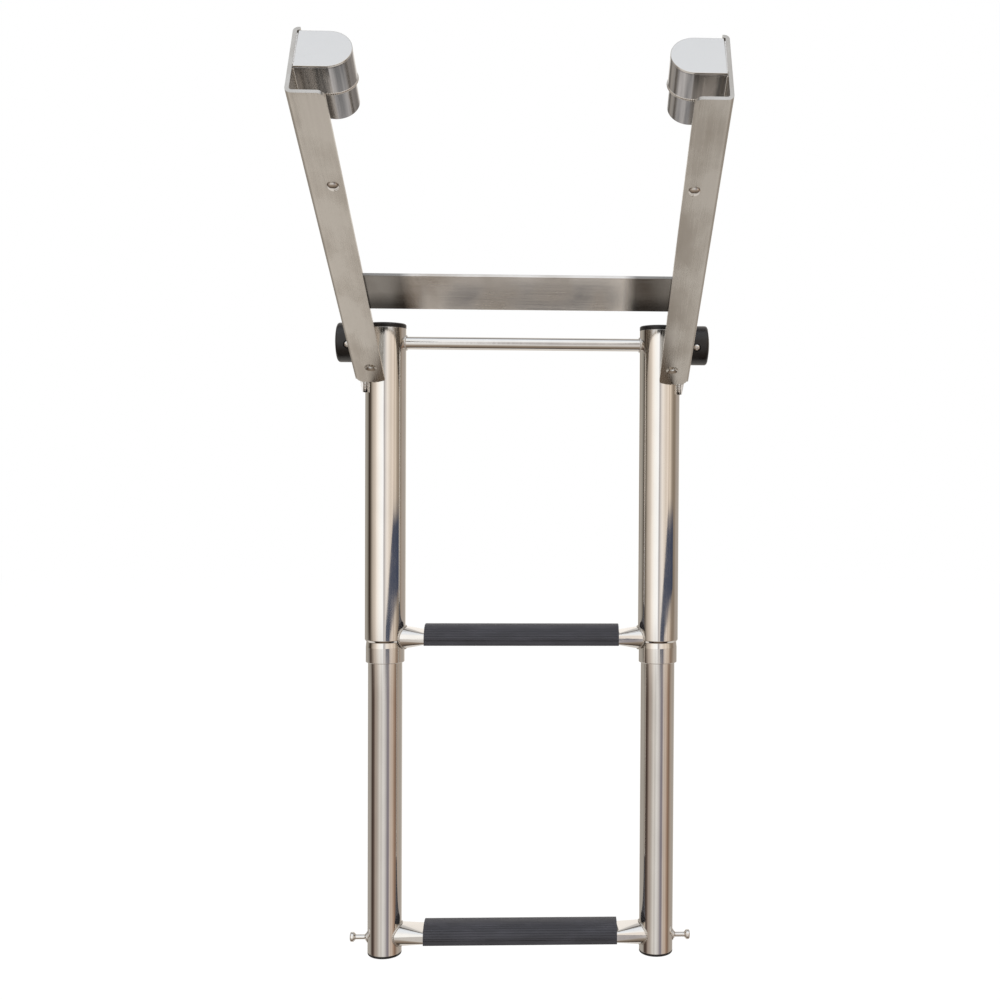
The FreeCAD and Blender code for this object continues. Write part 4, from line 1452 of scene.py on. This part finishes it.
@dataclass(frozen=True)
class Studio:
    """The floor, the lamps, the surroundings that the metal shows, and the camera.

    Each of the bands lists the surroundings by direction, as degrees from
    straight towards the climber and their colour: at eye level, below it, and
    overhead from front to back.  A slate stripe hangs in front, between two
    edges that lean with the height.  Each spread turns a direction's height,
    or its part across, into degrees for the stripe's edges and into a share
    for the rest.
    """

    lens: float = 46.05
    eye: Triple = (0.035, -1.2125, -0.1061)
    yaw: float = 0.0386
    pitch: float = -0.0217
    roll: float = 0.0061
    shift: Pair = (-0.1092, -0.0152)
    floor: float = -0.80
    floor_half: float = 6.0
    floor_colour: str = "#e6e4e1"
    floor_glow: float = 1.08
    floor_share: float = 0.9
    aim: Triple = (0.0, 0.0, -0.25)
    even_light: str = "#a0a0a0"
    glare: float = 1.2
    ground: tuple[str, str] = ("#d5cfc8", "#cbc6c0")
    stripe: str = "#374156"
    stripe_left: Spread = (-0.133, -0.046, 9.0, 50.0)
    stripe_right: Spread = (-0.139, -0.102, 31.0, 88.0)
    stripe_foot: Spread = (-0.185, -0.14, 0.0, 1.0)
    stripe_head: Spread = (-0.052, -0.036, 0.95, 0.0)
    stripe_blur: float = 1.5
    ground_turn: Spread = (-0.15, 0.15, 0.0, 1.0)
    ground_share: Spread = (-0.5, 0.0, 1.0, 0.0)
    low_share: Spread = (-0.18, -0.125, 1.0, 0.0)
    pole_share: Spread = (0.40, 0.60, 0.0, 1.0)
    eye_bands: Bands = (
        (-180, "#f1ebe4"), (-167, "#f6f2ec"), (-159, "#8d867d"), (-152, "#756e65"),
        (-143, "#aaa298"), (-118, "#98938a"), (-108, "#7c766d"), (-99, "#3d332b"),
        (-90, "#3a3028"), (-82, "#6f665b"), (-73, "#a99e92"), (-62, "#c4b8ab"),
        (-52, "#d4c8bc"), (-42, "#f3eae0"), (-28, "#fdfaf5"), (-7, "#ffffff"),
        (-1, "#a19b9a"), (5, "#d2ccc8"), (16, "#efe6dd"), (36, "#d6c9bb"),
        (50, "#e8dacc"), (55, "#bfaf9f"), (61, "#e0d2c1"), (68, "#c0b2a2"),
        (76, "#9c8e7f"), (84, "#8a7c6d"), (98, "#857869"), (112, "#a5998f"),
        (134, "#a49c94"), (154, "#aea59b"), (166, "#e6dfd7"), (180, "#f1ebe4"),
    )
    low_bands: Bands = (
        (-180, "#cbc4bc"), (-166, "#cfc8c0"), (-156, "#8f887f"), (-144, "#a09a92"),
        (-114, "#a39d95"), (-101, "#969088"), (-91, "#52453e"), (-80, "#40342e"),
        (-69, "#6b5d55"), (-60, "#a09389"), (-49, "#a3988f"), (-40, "#b2aaa2"),
        (-27, "#d3cec8"), (-18, "#c0bbb6"), (-6, "#d9d6d2"), (6, "#cac6c4"),
        (14, "#b3aeac"), (21, "#8b858a"), (28, "#7b757c"), (34, "#968d8d"),
        (40, "#cabeb4"), (48, "#b3a396"), (55, "#c4b3a5"), (64, "#aa9686"),
        (74, "#937967"), (82, "#775f50"), (91, "#8f7f71"), (104, "#a79a8e"),
        (130, "#a29b93"), (150, "#aea59c"), (164, "#c6beb6"), (180, "#cbc4bc"),
    )
    over_bands: Bands = (
        (-180, "#c3b9ae"), (-135, "#ffffff"), (-100, "#ffffff"), (-94, "#3f3731"),
        (-86, "#3f3731"), (-80, "#7d7065"), (-58, "#a4978b"), (-44, "#b7aea6"),
        (-26, "#e0dad4"), (0, "#ffffff"), (40, "#f6f5f4"), (60, "#eceff3"),
        (84, "#e8ecf2"), (92, "#6b6866"), (104, "#6b6866"), (114, "#bdb9b5"),
        (180, "#d8d5d2"),
    )

    def build(self) -> None:
        """Set up everything round the object."""
        self.build_world()
        self.build_floor()
        self.build_lamps()
        self.build_camera()
        bpy.context.scene.view_settings.view_transform = "Standard"

    def build_world(self) -> None:
        """Paint the surroundings by direction.

        Straight into the lens they are white.  Polished metal sees bands that
        follow the compass direction, with the stripe laid over them, and a
        pale ceiling and a warm floor.  Plain surfaces get an even light.
        """
        world = bpy.data.worlds.new("studio")
        bpy.context.scene.world = world
        world.use_nodes = True
        tree = world.node_tree
        tree.nodes.clear()
        place = add_node(tree, "TexCoord")
        split = add_node(tree, "SeparateXYZ", (place.outputs["Generated"],))
        x, y, z = split.outputs
        back = add_node(tree, "Math", (y, -1.0), operation="MULTIPLY")
        compass = self.heading(tree, x, back)
        left = add_node(tree, "MapRange", (z, *self.stripe_left))
        right = add_node(tree, "MapRange", (z, *self.stripe_right))
        held = self.step_up(tree, compass, left)
        for part in (
            self.step_up(tree, right, compass),
            add_node(tree, "MapRange", (z, *self.stripe_foot)),
            add_node(tree, "MapRange", (z, *self.stripe_head)),
        ):
            held = add_node(tree, "Math", (held, part), operation="MULTIPLY")
        first, second = (linear(colour) for colour in self.ground)
        across = add_node(tree, "MapRange", (x, *self.ground_turn))
        ground = {0: across, "A": first, "B": second}
        under = add_node(
            tree,
            "Mix",
            {
                0: add_node(tree, "MapRange", (z, *self.ground_share)),
                "A": self.bands(tree, self.heading(tree, z, back), self.over_bands),
                "B": add_node(tree, "Mix", ground, data_type="RGBA"),
            },
            data_type="RGBA",
            blend_type="MULTIPLY",
        )
        pole = add_node(tree, "Math", (z,), operation="ABSOLUTE")
        room = self.bands(tree, compass, self.eye_bands)
        for share, colour in (
            (
                add_node(tree, "MapRange", (z, *self.low_share)),
                self.bands(tree, compass, self.low_bands),
            ),
            (held, linear(self.stripe)),
            (add_node(tree, "MapRange", (pole, *self.pole_share)), under),
        ):
            mixed = {0: share, "A": room, "B": colour}
            room = add_node(tree, "Mix", mixed, data_type="RGBA")
        ray = add_node(tree, "LightPath")
        glossy, camera = ray.outputs["Is Glossy Ray"], ray.outputs["Is Camera Ray"]
        mixed = {0: glossy, "A": linear(self.even_light), "B": room}
        lit = add_node(tree, "Mix", mixed, data_type="RGBA")
        mixed = {0: camera, "A": lit, "B": linear("#ffffff")}
        seen = add_node(tree, "Mix", mixed, data_type="RGBA")
        bright = add_node(tree, "MapRange", (glossy, 0.0, 1.0, 1.0, self.glare))
        sky = add_node(tree, "Background", {"Color": seen, "Strength": bright})
        add_node(tree, "OutputWorld", {"Surface": sky})

    @staticmethod
    def heading(tree: Tree, side: Wire, front: Wire) -> bpy.types.Node:
        """Work out a direction's angle in degrees from straight ahead.

        Args:
            tree: The world's nodes.
            side: The direction's part across.
            front: The direction's part ahead.

        Returns:
            The angle, from -180 to 180.
        """
        turn = add_node(tree, "Math", (side, front), operation="ARCTAN2")
        return add_node(tree, "Math", (turn,), operation="DEGREES")

    @staticmethod
    def bands(
        tree: Tree, angle: Wire, stops: Sequence[tuple[float, str]]
    ) -> bpy.types.Node:
        """Colour a direction by its angle.

        Args:
            tree: The world's nodes.
            angle: The angle in degrees.
            stops: Angles and their colours.

        Returns:
            The colour.
        """
        share = add_node(tree, "MapRange", (angle, -180.0, 180.0, 0.0, 1.0))
        places = [((turn + 180) / 360, colour) for turn, colour in stops]
        return add_node(tree, "ValToRGB", (share,), places)

    def step_up(self, tree: Tree, value: Wire, edge: Wire) -> bpy.types.Node:
        """Rise from 0 to 1 across the stripe's blur as a value passes an edge.

        Args:
            tree: The world's nodes.
            value: The value.
            edge: Where the rise has its middle.

        Returns:
            The result.
        """
        past = add_node(tree, "Math", (value, edge), operation="SUBTRACT")
        blur = self.stripe_blur
        return add_node(tree, "MapRange", (past, -blur, blur, 0.0, 1.0))

    def build_floor(self) -> None:
        """Lay a pale floor, white to the lens, that keeps a soft shadow."""
        mesh = bpy.data.meshes.new("floor")
        half = self.floor_half
        ends = [(-half, -half), (half, -half), (half, half), (-half, half)]
        mesh.from_pydata([(x, y, self.floor) for x, y in ends], [], [[0, 1, 2, 3]])
        floor = bpy.data.objects.new("floor", mesh)
        bpy.context.scene.collection.objects.link(floor)
        floor.visible_glossy = False
        material, tree = start_material("pale_floor")
        matt = add_node(tree, "BsdfDiffuse", {"Color": linear(self.floor_colour)})
        glow = add_node(tree, "Emission", {"Strength": self.floor_glow})
        ray = add_node(tree, "LightPath").outputs["Is Camera Ray"]
        share = add_node(tree, "Math", (ray, self.floor_share), operation="MULTIPLY")
        both = add_node(tree, "MixShader", (share, matt, glow))
        add_node(tree, "OutputMaterial", {"Surface": both})
        mesh.materials.append(material)

    def build_lamps(self) -> None:
        """Hang three soft area lamps round the ladder."""
        lamps = (
            ("key_lamp", (-1.4, -1.6, 2.0), 1.6, 34.0),
            ("fill_lamp", (1.7, -1.5, 1.2), 1.6, 16.0),
            ("top_lamp", (0.2, 0.4, 2.3), 2.0, 26.0),
        )
        for name, place, size, power in lamps:
            lamp = bpy.data.lights.new(name, "AREA")
            lamp.shape = "SQUARE"
            lamp.size = size
            lamp.energy = power
            holder = bpy.data.objects.new(name, lamp)
            bpy.context.scene.collection.objects.link(holder)
            holder.location = place
            towards = Vector(self.aim) - Vector(place)
            holder.rotation_euler = towards.to_track_quat("-Z", "Y").to_euler()
            holder.visible_glossy = False

    def build_camera(self) -> None:
        """Set up the camera from its yaw, pitch and roll.

        Forward is the heading tipped by the pitch; right and up are square to
        it and to each other, turned by the roll.
        """
        level = Vector((math.sin(self.yaw), math.cos(self.yaw), 0.0))
        upright = Vector((0.0, 0.0, 1.0))
        forward = level * math.cos(self.pitch) + upright * math.sin(self.pitch)
        right = level.cross(upright)
        up = right.cross(forward)
        rolled_right = right * math.cos(self.roll) + up * math.sin(self.roll)
        rolled_up = up * math.cos(self.roll) - right * math.sin(self.roll)
        camera = bpy.data.cameras.new("camera")
        camera.lens = self.lens
        camera.sensor_width = 36.0
        camera.shift_x, camera.shift_y = self.shift
        camera.clip_start = 0.01
        holder = bpy.data.objects.new("camera", camera)
        bpy.context.scene.collection.objects.link(holder)
        turn = Matrix((rolled_right, rolled_up, -forward)).transposed().to_4x4()
        holder.matrix_world = Matrix.Translation(self.eye) @ turn
        bpy.context.scene.camera = holder


def corners(box: tuple[Sequence[float], Sequence[float]]) -> list[list[float]]:
    """Write a box's lowest and highest corners as plain lists of numbers."""
    return [[float(value) for value in corner] for corner in box]


def main() -> None:
    """Build the ladder and its studio round the loaded frame."""
    logging.basicConfig(level=logging.INFO, format="%(name)s: %(message)s")
    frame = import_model()
    Studio().build()
    shop = (frame["nodes"], Finishes())
    Brackets(*shop, Body.BRACKET).build()
    UpperLadder(*shop, Body.UPPER).build()
    SlidingSection(*shop, Body.SLIDING).build()
    bpy.context.view_layer.update()


if __name__ == "__main__":
    main()
